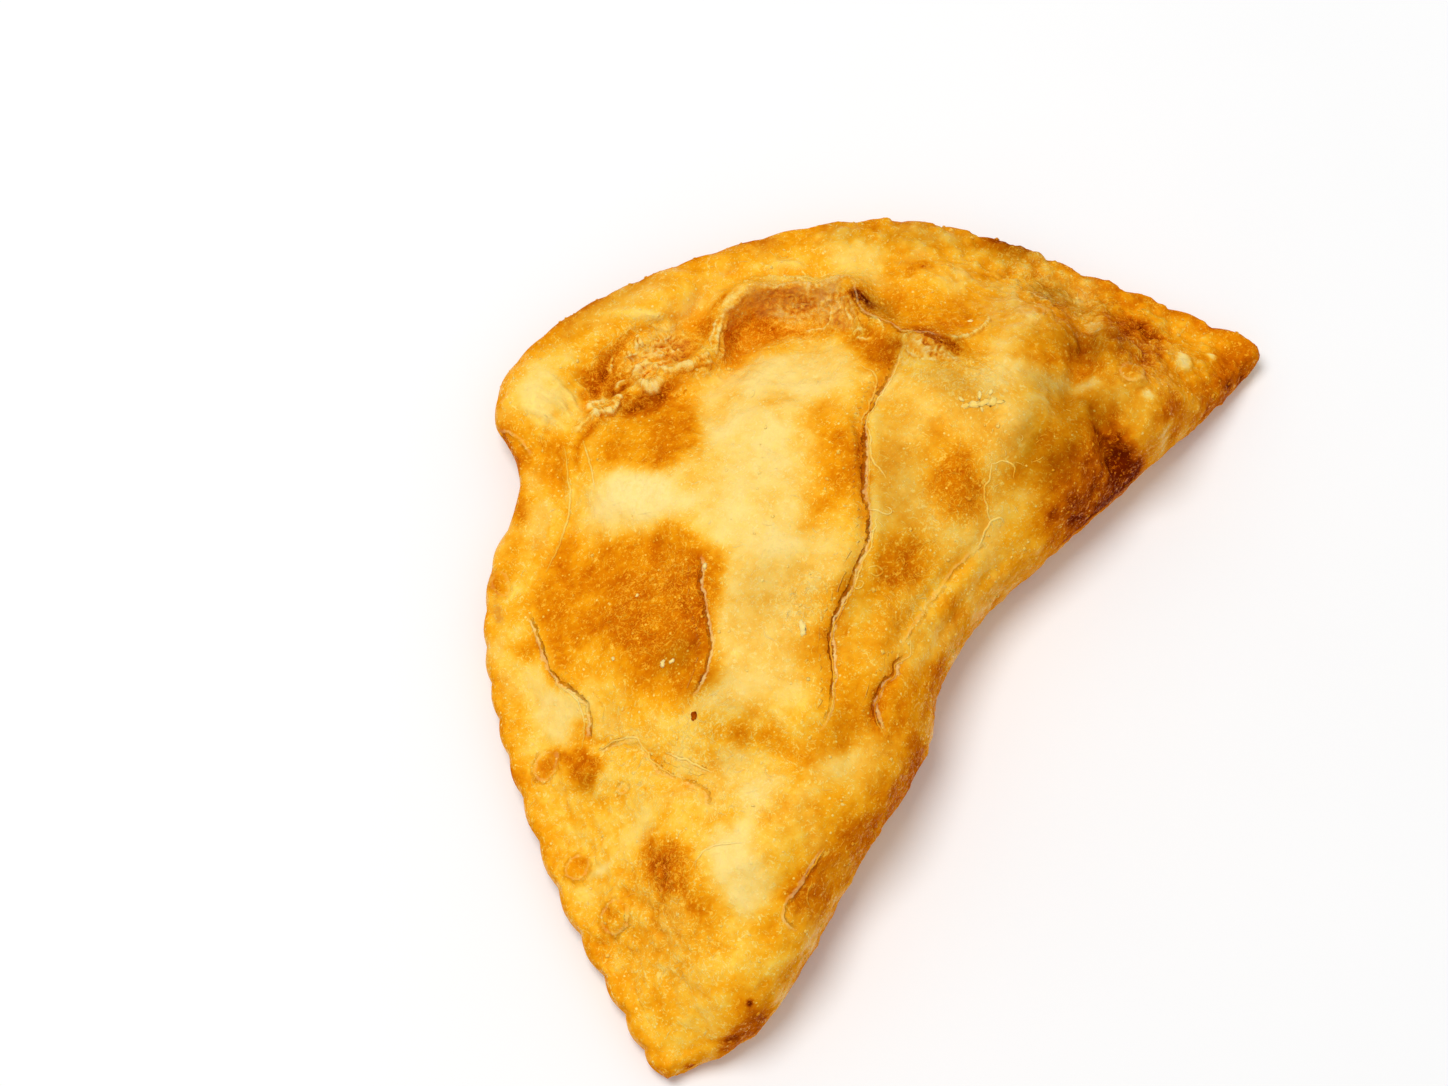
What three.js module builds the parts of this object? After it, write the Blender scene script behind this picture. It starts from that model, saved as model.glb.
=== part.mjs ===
// A fried cheese empanada: a disc of dough folded in half over its filling, sealed round the
// curved side with a fluted wheel and fried until it puffs up. It lies on its flatter side.
// The frame is in millimetres: +X runs from one tip to the other, +Y from the fold to the sealed
// rim, and +Z is up. The origin is under the middle, on the surface that the pastry rests on.
import * as THREE from "three";

// Driving sizes
const SPAN = 140; // tip to tip
const DEPTH = 90; // fold to the top of the rim
const DOUGH = 4.4; // the flange, two sheets of dough pressed together
const DOUGH_EDGE = 1.8; // how far in from its edge the flange is rounded
const FLANGE_LIFT = 0.4; // the flange's underside at the tips
const FLANGE_ARCH = 3.2; // how much higher the flange is in the middle of the rim
const BELLY = 9; // height of the fold's outermost line
const BELLY_ROUND = 11; // how far in under the fold the pastry first touches the surface
const CROWN = 14.5; // height of the puffed pocket above the belly line
const FULL_WIDTH = 66; // a pocket this wide puffs up fully, and a narrower one less
const NARROWING = 0.55; // how slowly it gets lower as it narrows, as a power
const LEFT_END = 0.12; // share of the length over which the pocket dies out at the left tip
const RIGHT_END = 0.16; // and at the right tip
const TURN = 0.46; // how sharply the dome of the pocket turns under at the fold
const PITCH = 6.3; // one flute of the cutting wheel
const FLUTE = 0.8; // depth of a flute
const FLUTE_REACH = 2.5; // how far in from the rim the flutes are felt
const FLUTE_WANDER = 0.8; // how unevenly the flutes follow each other
const WANDER_RATE = 23; // and how often that changes from tip to tip
const FLUTE_END = 0.025; // share of the length at each tip where the flutes die out

// Grid of the skin: sections from tip to tip, and rows over the top and back underneath
const SECTIONS = 130;
const TOP_ROWS = 36;
const UNDER_ROWS = 10;
const FINE = 160; // samples along a section while its rows are spaced out
const CROWDING = 1.6; // how many more rows lie by the seal, where the lip is, than elsewhere
const SEAL_REACH = 7; // and within how many millimetres of it
const NUDGE_LENGTH = 0.002; // a small step from tip to tip, to find the skin's normal
const NUDGE_ACROSS = 0.004; // and one from rim to fold
const UPWARD = 0.5; // how much the relief leans from the skin's normal towards straight up
const SEAL_UPWARD = 3; // how much more it does so by the seal, where the skin has a hollow bend

// The plan outline, as shares of half the span and of the depth, from the left tip to the right
const plan = (points) =>
  new THREE.CatmullRomCurve3(
    points.map(([x, y]) => new THREE.Vector3((x * SPAN) / 2, y * DEPTH, 0)),
    false,
    "catmullrom",
    0.5,
  );
const RIM = plan([
  [-0.997, -0.432], [-0.994, -0.391], [-0.943, -0.294], [-0.86, -0.139], [-0.751, 0.011],
  [-0.646, 0.133], [-0.526, 0.238], [-0.389, 0.311], [-0.269, 0.34], [-0.189, 0.387],
  [-0.146, 0.46], [-0.049, 0.5], [0.114, 0.491], [0.286, 0.44], [0.471, 0.359],
  [0.643, 0.262], [0.771, 0.147], [0.857, 0.0], [0.906, -0.133], [0.96, -0.278],
  [1.0, -0.392], [0.996, -0.432],
]);
const FOLD = plan([
  [-0.997, -0.432], [-0.963, -0.444], [-0.866, -0.486], [-0.771, -0.5], [-0.643, -0.491],
  [-0.507, -0.471], [-0.371, -0.456], [-0.243, -0.447], [-0.14, -0.427], [-0.066, -0.394],
  [0.031, -0.374], [0.171, -0.366], [0.314, -0.382], [0.543, -0.407], [0.8, -0.432],
  [0.957, -0.44], [0.996, -0.432],
]);

// Width of the sealed flange along the rim, in millimetres, and how gently the pocket starts to
// rise from it, as a power: [share of the rim, value]
const FLANGE = [
  [0, 3], [0.12, 7], [0.3, 8], [0.42, 9], [0.48, 13], [0.54, 17], [0.6, 15], [0.66, 11],
  [0.76, 9], [1, 5],
];
const RISE = [[0, 1.1], [0.3, 1.35], [0.45, 1.2], [0.55, 1.05], [0.66, 1.1], [0.8, 1.2], [1, 1.2]];

// Raised wrinkles and sunken creases: the points of a path, each [x, y, height], and how far the
// crest reaches towards the rim and towards the fold
const WRINKLES = [
  { // the lip of dough gathered along the inside of the seal
    path: [[-7.4, 29.9, 0.8], [1.9, 29, 1.7], [8, 25.8, 2.2], [14.5, 22.6, 2.8], [19.5, 23.6, 3.3],
      [24, 25, 3.7], [27.5, 24, 3.9], [29.6, 21.5, 3.9], [31.8, 18.6, 3.9], [33.2, 16.1, 3.6],
      [36, 13.3, 3.2], [36.4, 11.4, 2.8], [34, 8.6, 2.2], [33, 4, 1.6], [33, 0, 1.4],
      [34.6, -4, 1.4], [37.5, -6.8, 1.2], [41, -7.8, 0.8], [46, -7.6, 0]],
    rimward: 2.4, foldward: 1.7,
  },
  { path: [[2, 24.5, 0], [10, 20.5, -0.9], [17, 19.4, -1.4], [23, 20.2, -1.8], [27, 18, -2],
      [29, 13.5, -1.8], [30, 8, -1.1], [28.5, 3, 0]], rimward: 2.2, foldward: 3.4 }, // below it
  { path: [[5, 32, 0], [13, 30, -1], [20, 29, -1.3], [27, 28.8, -1.2], [34, 24, 0]],
    rimward: 2, foldward: 1.6 }, // the hollow above the lip
  { path: [[-21.7, 20.7, 0], [-17.7, 21.8, 1], [-13.2, 24.3, 1.2], [-8.2, 29.2, 1]], // pinched
    rimward: 1.5, foldward: 1.2 },
  { path: [[-40.5, -2, 0], [-36, 2, 1], [-35.3, 7, 1], [-33, 12.7, 0.9], [-29.6, 17, 0]], // flap
    rimward: 3.4, foldward: 0.8 },
  { path: [[-18.7, -26.9, 0], [-11, -21.8, -0.7], [-1.3, -18.3, -0.8], [7, -13, -0.8],
      [14.6, -7.6, -0.9], [18.4, -3.2, -0.9], [27.4, -1.8, -0.9], [32.4, -0.4, 0]], // long crack
    rimward: 0.9, foldward: 0.9 },
  { path: [[-41, -1, 0], [-38.5, -8.9, -1.3], [-37.5, -18, -1.6], [-32, -24, -1.6],
      [-25, -29, -1.4], [-14, -35, 0]], rimward: 3.4, foldward: 3 }, // waist below the filling
  { path: [[-9, -34.2, 0], [0, -31.9, -0.9], [6.7, -31.4, -0.9], [13.5, -31.6, -0.9],
      [23, -34, 0]], rimward: 1, foldward: 1 }, // pleats along the fold
  { path: [[-12, -30.8, 0], [-3.6, -28, -0.8], [3.8, -27.7, -0.8], [11, -27.8, -0.8],
      [20, -29, 0]], rimward: 1.1, foldward: 1.1 },
  { path: [[61, -10.5, 0], [57, -15.5, -1], [52.6, -18.4, -2], [48.6, -21.2, -2.5],
      [44.8, -22.9, -2.3], [41, -24.6, -1.6], [36, -27, 0]],
    rimward: 1.9, foldward: 2 }, // the crease where the pocket ends
  { path: [[44.5, -26.5, 0], [43, -28.3, -1.2], [41.2, -30.2, -2.2], [39.4, -32.6, -3],
      [38.4, -35, -3.2], [38.6, -38, 0]], rimward: 1.9, foldward: 1.9 }, // and the nook by the fold
  { path: [[63, -11, 0], [59.6, -16.2, 1], [56, -19.2, 1.4], [53, -22.2, 1.3],
      [50, -25.6, 0.8], [48, -28, 0]], rimward: 2.6, foldward: 1.5 }, // step down to the tip
];

// Swellings and dents: place, reach along and across a direction, that direction in degrees, and
// height, in millimetres
const LUMPS = [
  { x: 45, y: 9, along: 14, across: 8, turn: -60, height: 2.8 }, // puffed flange, right
  { x: -3, y: 37, along: 8, across: 5, turn: 50, height: 2.6 }, // bulge above the notch
  { x: 21, y: 33, along: 13, across: 4.5, turn: -25, height: 2.8 }, // puffed flange, middle
  { x: 3, y: 33, along: 5, across: 3, turn: 0, height: -1.4 },
  { x: 47, y: -15, along: 8, across: 4, turn: -35, height: 1.6 }, // the pocket's shoulder
  { x: 32, y: -17, along: 10, across: 4, turn: -65, height: 1.6 },
  { x: 33, y: -29, along: 5, across: 4, turn: -50, height: 1.1 }, // its foot, left of the nook
  { x: 47, y: -32, along: 6, across: 4, turn: -20, height: 1.4 }, // and right of it
  { x: 57.5, y: -25, along: 4.5, across: 2.8, turn: -50, height: -1.2 },
  { x: 20, y: -19, along: 5, across: 4, turn: 0, height: 0.9 },
  { x: -22, y: 5, along: 12, across: 9, turn: -10, height: 1 }, // the large browned blister
  { x: -31, y: -30, along: 6, across: 5, turn: 0, height: 1 },
  { x: -43, y: -31, along: 8, across: 4, turn: -20, height: 1.2 },
  { x: -49, y: -23, along: 5, across: 4, turn: 0, height: 1.2 },
  { x: -23, y: -37, along: 6, across: 4, turn: 0, height: 1.2 },
  { x: -60, y: -31, along: 5, across: 2.5, turn: 70, height: -1.1 },
];

// Blisters in the skin: place, radius and height
const BLISTERS = [
  { x: 48.2, y: -12, radius: 2.7, height: 0.9 }, { x: 53, y: -8.6, radius: 2.2, height: 0.8 },
  { x: 48.4, y: -29.2, radius: 2.2, height: 0.9 }, { x: 58.4, y: -32, radius: 2, height: 0.8 },
  { x: -54.9, y: -10.8, radius: 2.6, height: 0.9 }, { x: -58.6, y: -18.7, radius: 3, height: 1 },
  { x: -44.4, y: -0.8, radius: 3.6, height: 0.9 },
  { x: 30, y: 31, radius: 2.4, height: 0.9 }, { x: 62, y: -24, radius: 2.2, height: 0.8 },
];

const smooth = (x) => THREE.MathUtils.smoothstep(x, 0, 1);
const rounded = (x) => Math.sqrt(Math.max(0, 1 - (1 - Math.min(Math.max(x, 0), 1)) ** 2));

// A value that runs straight from one [place, value] pair to the next.
function graded(pairs, at) {
  const next = Math.max(1, pairs.findIndex(([place]) => place >= at));
  const [[a, low], [b, high]] = [pairs[next - 1], pairs[next]];
  return THREE.MathUtils.lerp(low, high, (at - a) / (b - a));
}

// The rim, the fold and what the skin between them needs, at a share u of the way between tips.
// The rim also has its flutes, rounded lobes between sharp notches, deepest towards both tips.
const rimLength = RIM.getLength();
function outline(u) {
  const tangent = RIM.getTangentAt(u);
  const wander = FLUTE_WANDER * Math.sin(WANDER_RATE * u);
  const lobes = Math.abs(Math.sin((Math.PI * u * rimLength) / PITCH + wander));
  const depth = FLUTE * (0.25 + 0.75 * Math.cos(Math.PI * u) ** 2);
  const fade = smooth(u / FLUTE_END) * smooth((1 - u) / FLUTE_END);
  return {
    rim: RIM.getPointAt(u),
    fold: FOLD.getPointAt(u),
    flange: graded(FLANGE, u),
    rise: graded(RISE, u),
    flute: new THREE.Vector3(-tangent.y, tangent.x, 0).multiplyScalar(depth * fade * (lobes - 0.65)),
  };
}

// One point of the plain skin, before its relief. The distance across a section runs from the rim
// (w = 0) to the fold (w = 1). The pocket starts inside the flange, rises in a skewed dome and
// turns under at the fold, and is as high as its width allows.
function skin(line, u, w, side) {
  const width = line.rim.distanceTo(line.fold);
  const fromRim = w * width;
  const fromFold = (1 - w) * width;
  const pocket = Math.max(width - line.flange, 1e-6);
  const s = THREE.MathUtils.clamp((fromRim - line.flange) / pocket, 0, 1);
  const ends = smooth(u / LEFT_END) * smooth((1 - u) / RIGHT_END);
  const size = Math.min(1, pocket / FULL_WIDTH) ** NARROWING * ends;
  const flangeMiddle = DOUGH / 2 + FLANGE_LIFT + FLANGE_ARCH * Math.sin(Math.PI * u) ** 0.8;
  const belly = THREE.MathUtils.lerp(DOUGH / 2 + FLANGE_LIFT, BELLY, size);
  const middle = THREE.MathUtils.lerp(flangeMiddle, belly, smooth(s * 1.6));
  const half = (DOUGH / 2) * rounded(Math.min(fromRim, fromFold) / DOUGH_EDGE);
  const place = line.rim.clone().lerp(line.fold, w);
  place.addScaledVector(line.flute, Math.exp(-((fromRim / FLUTE_REACH) ** 2)));
  if (side > 0) {
    const crest = line.rise / (line.rise + TURN);
    const dome = (s / crest) ** line.rise * ((1 - s) / (1 - crest)) ** TURN;
    place.z = middle + half + CROWN * size * dome;
  } else {
    const under = belly * rounded(fromFold / BELLY_ROUND);
    place.z = Math.max(0, middle - half - smooth(s * 2.2) * under);
  }
  return place;
}

// How far a wrinkle lifts the skin at a place: a soft crest, with its own height at each point of
// its path, that leans towards the rim or the fold. Which side a place lies on is told from the
// path's direction there, which turns evenly from one bend to the next.
function wrinkleHeight({ path, rimward, foldward }, x, y) {
  const heading = (i) => {
    const [from, to] = [path[Math.max(i - 1, 0)], path[Math.min(i + 1, path.length - 1)]];
    return [to[0] - from[0], to[1] - from[1]];
  };
  let nearest = Infinity;
  let lift = 0;
  for (let i = 0; i < path.length - 1; i++) {
    const [ax, ay, low] = path[i];
    const [bx, by, high] = path[i + 1];
    const [dx, dy] = [bx - ax, by - ay];
    const t = THREE.MathUtils.clamp(((x - ax) * dx + (y - ay) * dy) / (dx * dx + dy * dy), 0, 1);
    const [offX, offY] = [x - ax - t * dx, y - ay - t * dy];
    const distance = Math.hypot(offX, offY);
    if (distance >= nearest) continue;
    nearest = distance;
    const [before, after] = [heading(i), heading(i + 1)];
    const headX = THREE.MathUtils.lerp(before[0], after[0], t);
    const headY = THREE.MathUtils.lerp(before[1], after[1], t);
    const left = headX * offY - headY * offX > 0;
    const rimSide = path[0][0] < path.at(-1)[0] ? left : !left;
    const crest = THREE.MathUtils.lerp(low, high, t);
    lift = crest * Math.exp(-((distance / (rimSide ? rimward : foldward)) ** 2));
  }
  return lift;
}

function lumpHeight({ x: cx, y: cy, along, across, turn, height }, x, y) {
  const angle = THREE.MathUtils.degToRad(turn);
  const [dx, dy] = [x - cx, y - cy];
  const a = (dx * Math.cos(angle) + dy * Math.sin(angle)) / along;
  const b = (dy * Math.cos(angle) - dx * Math.sin(angle)) / across;
  return height * Math.exp(-(a * a + b * b));
}

function blisterHeight({ x: cx, y: cy, radius, height }, x, y) {
  const share = Math.hypot(x - cx, y - cy) / radius;
  return share < 1 ? height * Math.sqrt(1 - share * share) : 0;
}

// Gentle unevenness of the whole skin, in waves of 15 to 30 mm that cross each other.
function unevenness({ x, y, z }) {
  return (
    0.45 * Math.sin(0.23 * x + 0.11 * y + 1.3) * Math.cos(0.19 * y - 0.07 * x + 0.2 * z) +
    0.3 * Math.sin(0.37 * x - 0.29 * y + 0.25 * z + 2.1) +
    0.2 * Math.cos(0.16 * x + 0.41 * y - 0.3 * z)
  );
}

// How near a place is to the seal, where the pocket starts: 1 on it, and 0 far from it.
const nearSeal = (line, fromRim) => Math.exp(-(((fromRim - line.flange) / SEAL_REACH) ** 2));

// The skin with its relief, pushed out between the plain skin's normal and straight up. The relief
// fades at the outline, where the two sheets meet, and underneath, where the pastry lay flat.
function crust(line, near, u, w, side) {
  const place = skin(line, u, w, side);
  const nudge = w < 0.5 ? NUDGE_ACROSS : -NUDGE_ACROSS;
  const across = skin(line, u, w + nudge, side).sub(place).multiplyScalar(Math.sign(nudge));
  const length = skin(near.line, near.u, w, side).sub(place).multiplyScalar(near.u > u ? 1 : -1);
  const normal = across.cross(length).normalize();
  const width = line.rim.distanceTo(line.fold);
  normal.z += UPWARD + SEAL_UPWARD * nearSeal(line, w * width);
  normal.normalize().multiplyScalar(side);
  const fade = smooth((w * width) / 3) * smooth(((1 - w) * width) / 1.5);
  let lift = unevenness(place);
  if (side > 0) {
    for (const wrinkle of WRINKLES) lift += wrinkleHeight(wrinkle, place.x, place.y);
    for (const lump of LUMPS) lift += lumpHeight(lump, place.x, place.y);
    for (const blister of BLISTERS) lift += blisterHeight(blister, place.x, place.y);
  } else {
    lift *= smooth(place.z / 3);
  }
  place.addScaledVector(normal, lift * fade);
  place.z = Math.max(place.z, 0);
  return place;
}

// Values of w that space the rows along the skin of one section, evenly but closer by the seal.
function rowPlaces(line, u, side, rows) {
  const width = line.rim.distanceTo(line.fold);
  const turn = Math.PI / FINE;
  const samples = Array.from({ length: FINE + 1 }, (_, i) => 0.5 - 0.5 * Math.cos(turn * i));
  const lengths = [0];
  samples.reduce((last, w, i) => {
    const point = skin(line, u, w, side);
    const crowded = 1 + CROWDING * nearSeal(line, w * width);
    if (i > 0) lengths.push(lengths[i - 1] + point.distanceTo(last) * crowded);
    return point;
  }, null);
  const total = lengths.at(-1);
  let i = 1;
  return Array.from({ length: rows + 1 }, (_, row) => {
    const wanted = (total * row) / rows;
    while (i < FINE && lengths[i] < wanted) i++;
    const part = (wanted - lengths[i - 1]) / (lengths[i] - lengths[i - 1]);
    return THREE.MathUtils.lerp(samples[i - 1], samples[i], THREE.MathUtils.clamp(part, 0, 1));
  });
}

// Closed rings of points, over the top from rim to fold and back underneath, between two tips.
function pastryGeometry() {
  const positions = [];
  const put = (point) => positions.push(point.x, point.y, point.z);
  const tipHeight = DOUGH / 2 + FLANGE_LIFT;
  put(RIM.getPointAt(0).setZ(tipHeight));
  for (let i = 1; i <= SECTIONS; i++) {
    const u = i / (SECTIONS + 1);
    const line = outline(u);
    const nearU = u + (u < 0.5 ? NUDGE_LENGTH : -NUDGE_LENGTH);
    const near = { u: nearU, line: outline(nearU) };
    rowPlaces(line, u, 1, TOP_ROWS).forEach((w) => put(crust(line, near, u, w, 1)));
    const under = rowPlaces(line, u, -1, UNDER_ROWS).slice(1, -1).reverse();
    under.forEach((w) => put(crust(line, near, u, w, -1)));
  }
  put(RIM.getPointAt(1).setZ(tipHeight));

  const ring = TOP_ROWS + UNDER_ROWS;
  const last = SECTIONS * ring + 1;
  const at = (section, row) => 1 + section * ring + (row % ring);
  const faces = [];
  for (let row = 0; row < ring; row++) {
    faces.push(0, at(0, row + 1), at(0, row));
    faces.push(last, at(SECTIONS - 1, row), at(SECTIONS - 1, row + 1));
    for (let section = 0; section < SECTIONS - 1; section++) {
      const [a, b] = [at(section, row), at(section, row + 1)];
      const [c, d] = [at(section + 1, row), at(section + 1, row + 1)];
      faces.push(a, b, c, b, d, c);
    }
  }
  const geometry = new THREE.BufferGeometry();
  geometry.setAttribute("position", new THREE.Float32BufferAttribute(positions, 3));
  geometry.setIndex(faces);
  geometry.computeVertexNormals();
  return geometry;
}

const friedDough = new THREE.MeshStandardMaterial({
  color: new THREE.Color().setRGB(0.86, 0.5, 0.12),
  roughness: 0.5,
  metalness: 0,
});

const empanada = new THREE.Mesh(pastryGeometry(), friedDough);
empanada.name = "empanada";

const group = new THREE.Group();
group.add(empanada);
export default group;
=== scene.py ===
import math
from functools import lru_cache
from typing import NamedTuple

import bpy
import numpy as np
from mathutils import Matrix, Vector


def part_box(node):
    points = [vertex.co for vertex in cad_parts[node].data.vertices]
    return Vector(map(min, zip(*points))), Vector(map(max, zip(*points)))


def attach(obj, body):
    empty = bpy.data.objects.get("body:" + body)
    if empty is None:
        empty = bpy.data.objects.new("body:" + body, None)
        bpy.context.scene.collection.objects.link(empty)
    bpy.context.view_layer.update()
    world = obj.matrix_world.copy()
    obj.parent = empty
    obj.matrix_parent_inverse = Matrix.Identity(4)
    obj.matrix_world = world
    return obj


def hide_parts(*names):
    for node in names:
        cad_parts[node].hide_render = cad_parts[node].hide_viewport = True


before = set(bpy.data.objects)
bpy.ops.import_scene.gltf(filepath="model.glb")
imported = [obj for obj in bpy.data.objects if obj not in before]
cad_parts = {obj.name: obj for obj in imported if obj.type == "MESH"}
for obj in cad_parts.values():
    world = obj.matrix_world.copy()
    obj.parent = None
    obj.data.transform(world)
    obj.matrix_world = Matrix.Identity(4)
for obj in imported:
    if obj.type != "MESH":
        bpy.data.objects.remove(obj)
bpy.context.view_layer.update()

bl_info = {
    "name": "Fried empanada",
    "version": (1, 0, 0),
    "blender": (4, 5, 0),
    "location": "View3D > Sidebar > Pastry",
    "description": "A fried half-moon pastry with a fluted, sealed rim and a browned, blistered crust",
    "category": "Add Mesh",
}

# Sizes are in millimetres, in the frame of the solid part: +X from tip to tip, +Y from the fold to
# the sealed rim, +Z up from the surface that the pastry lies on. Meshes are written in metres.
MM = 0.001
LOW, HIGH = (np.array(corner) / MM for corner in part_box("empanada"))
SPAN, DEPTH = (HIGH - LOW)[:2]

# The plan outline, as shares of half the span and of the depth, from the left tip to the right
RIM = [
    (-0.997, -0.432), (-0.994, -0.391), (-0.943, -0.294), (-0.86, -0.139), (-0.751, 0.011),
    (-0.646, 0.133), (-0.526, 0.238), (-0.389, 0.311), (-0.269, 0.34), (-0.189, 0.387),
    (-0.146, 0.46), (-0.049, 0.5), (0.114, 0.491), (0.286, 0.44), (0.471, 0.359),
    (0.643, 0.262), (0.771, 0.147), (0.857, 0.0), (0.906, -0.133), (0.96, -0.278),
    (1.0, -0.392), (0.996, -0.432),
]
FOLD = [
    (-0.997, -0.432), (-0.963, -0.444), (-0.866, -0.486), (-0.771, -0.5), (-0.643, -0.491),
    (-0.507, -0.471), (-0.371, -0.456), (-0.243, -0.447), (-0.14, -0.427), (-0.066, -0.394),
    (0.031, -0.374), (0.171, -0.366), (0.314, -0.382), (0.543, -0.407), (0.8, -0.432),
    (0.957, -0.44), (0.996, -0.432),
]

# Along the rim: the sealed flange's width, and how gently the pocket rises from it, as a power
FLANGE = [
    (0, 3), (0.12, 7), (0.3, 8), (0.42, 9), (0.48, 13), (0.54, 17), (0.6, 15), (0.66, 11),
    (0.76, 9), (1, 5),
]
RISE = [(0, 1.1), (0.3, 1.35), (0.45, 1.2), (0.55, 1.05), (0.66, 1.1), (0.8, 1.2), (1, 1.2)]


class Wrinkle(NamedTuple):
    """A crest along a path of (x, y, height), and its reach towards the rim and the fold."""

    path: list
    rimward: float
    foldward: float


class Spot(NamedTuple):
    """An oval at x, y with a reach along and across a direction in degrees, and its strength."""

    x: float
    y: float
    along: float
    across: float
    turn: float
    amount: float


class Line(NamedTuple):
    """A thin mark along a path of (x, y), and how strongly it shows."""

    path: list
    strength: float


# The main relief, as in the solid part
WRINKLES = [
    Wrinkle([(-7.4, 29.9, 0.8), (1.9, 29, 1.7), (8, 25.8, 2.2), (14.5, 22.6, 2.8),
             (19.5, 23.6, 3.3), (24, 25, 3.7), (27.5, 24, 3.9), (29.6, 21.5, 3.9),
             (31.8, 18.6, 3.9), (33.2, 16.1, 3.6), (36, 13.3, 3.2), (36.4, 11.4, 2.8),
             (34, 8.6, 2.2), (33, 4, 1.6), (33, 0, 1.4), (34.6, -4, 1.4), (37.5, -6.8, 1.2),
             (41, -7.8, 0.8), (46, -7.6, 0)], 2.4, 1.7),
    Wrinkle([(2, 24.5, 0), (10, 20.5, -0.9), (17, 19.4, -1.4), (23, 20.2, -1.8), (27, 18, -2),
             (29, 13.5, -1.8), (30, 8, -1.1), (28.5, 3, 0)], 2.2, 3.4),
    Wrinkle([(5, 32, 0), (13, 30, -1), (20, 29, -1.3), (27, 28.8, -1.2), (34, 24, 0)], 2, 1.6),
    Wrinkle([(-21.7, 20.7, 0), (-17.7, 21.8, 1), (-13.2, 24.3, 1.2), (-8.2, 29.2, 1)], 1.5, 1.2),
    Wrinkle([(-40.5, -2, 0), (-36, 2, 1), (-35.3, 7, 1), (-33, 12.7, 0.9),
             (-29.6, 17, 0)], 3.4, 0.8),
    Wrinkle([(-18.7, -26.9, 0), (-11, -21.8, -0.7), (-1.3, -18.3, -0.8), (7, -13, -0.8),
             (14.6, -7.6, -0.9), (18.4, -3.2, -0.9), (27.4, -1.8, -0.9),
             (32.4, -0.4, 0)], 0.9, 0.9),
    Wrinkle([(-41, -1, 0), (-38.5, -8.9, -1.3), (-37.5, -18, -1.6), (-32, -24, -1.6),
             (-25, -29, -1.4), (-14, -35, 0)], 3.4, 3),
    Wrinkle([(-9, -34.2, 0), (0, -31.9, -0.9), (6.7, -31.4, -0.9), (13.5, -31.6, -0.9),
             (23, -34, 0)], 1, 1),
    Wrinkle([(-12, -30.8, 0), (-3.6, -28, -0.8), (3.8, -27.7, -0.8), (11, -27.8, -0.8),
             (20, -29, 0)], 1.1, 1.1),
    Wrinkle([(61, -10.5, 0), (57, -15.5, -1), (52.6, -18.4, -2), (48.6, -21.2, -2.5),
             (44.8, -22.9, -2.3), (41, -24.6, -1.6), (36, -27, 0)], 1.9, 2),
    Wrinkle([(44.5, -26.5, 0), (43, -28.3, -1.2), (41.2, -30.2, -2.2), (39.4, -32.6, -3),
             (38.4, -35, -3.2), (38.6, -38, 0)], 1.9, 1.9),
    Wrinkle([(63, -11, 0), (59.6, -16.2, 1), (56, -19.2, 1.4), (53, -22.2, 1.3), (50, -25.6, 0.8),
             (48, -28, 0)], 2.6, 1.5),
]
LUMPS = [
    Spot(45, 9, 14, 8, -60, 2.8), Spot(-3, 37, 8, 5, 50, 2.6), Spot(21, 33, 13, 4.5, -25, 2.8),
    Spot(3, 33, 5, 3, 0, -1.4), Spot(47, -15, 8, 4, -35, 1.6), Spot(32, -17, 10, 4, -65, 1.6),
    Spot(33, -29, 5, 4, -50, 1.1), Spot(47, -32, 6, 4, -20, 1.4),
    Spot(57.5, -25, 4.5, 2.8, -50, -1.2), Spot(20, -19, 5, 4, 0, 0.9), Spot(-22, 5, 12, 9, -10, 1),
    Spot(-31, -30, 6, 5, 0, 1), Spot(-43, -31, 8, 4, -20, 1.2), Spot(-49, -23, 5, 4, 0, 1.2),
    Spot(-23, -37, 6, 4, 0, 1.2), Spot(-60, -31, 5, 2.5, 70, -1.1),
]
BLISTERS = [Spot(x, y, reach, reach, 0, height) for x, y, reach, height in (
    (48.2, -12, 2.7, 0.9), (53, -8.6, 2.2, 0.8), (48.4, -29.2, 2.2, 0.9), (58.4, -32, 2, 0.8),
    (-54.9, -10.8, 2.6, 0.9), (-58.6, -18.7, 3, 1), (-44.4, -0.8, 3.6, 0.9), (30, 31, 2.4, 0.9),
    (62, -24, 2.2, 0.8))]

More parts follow.
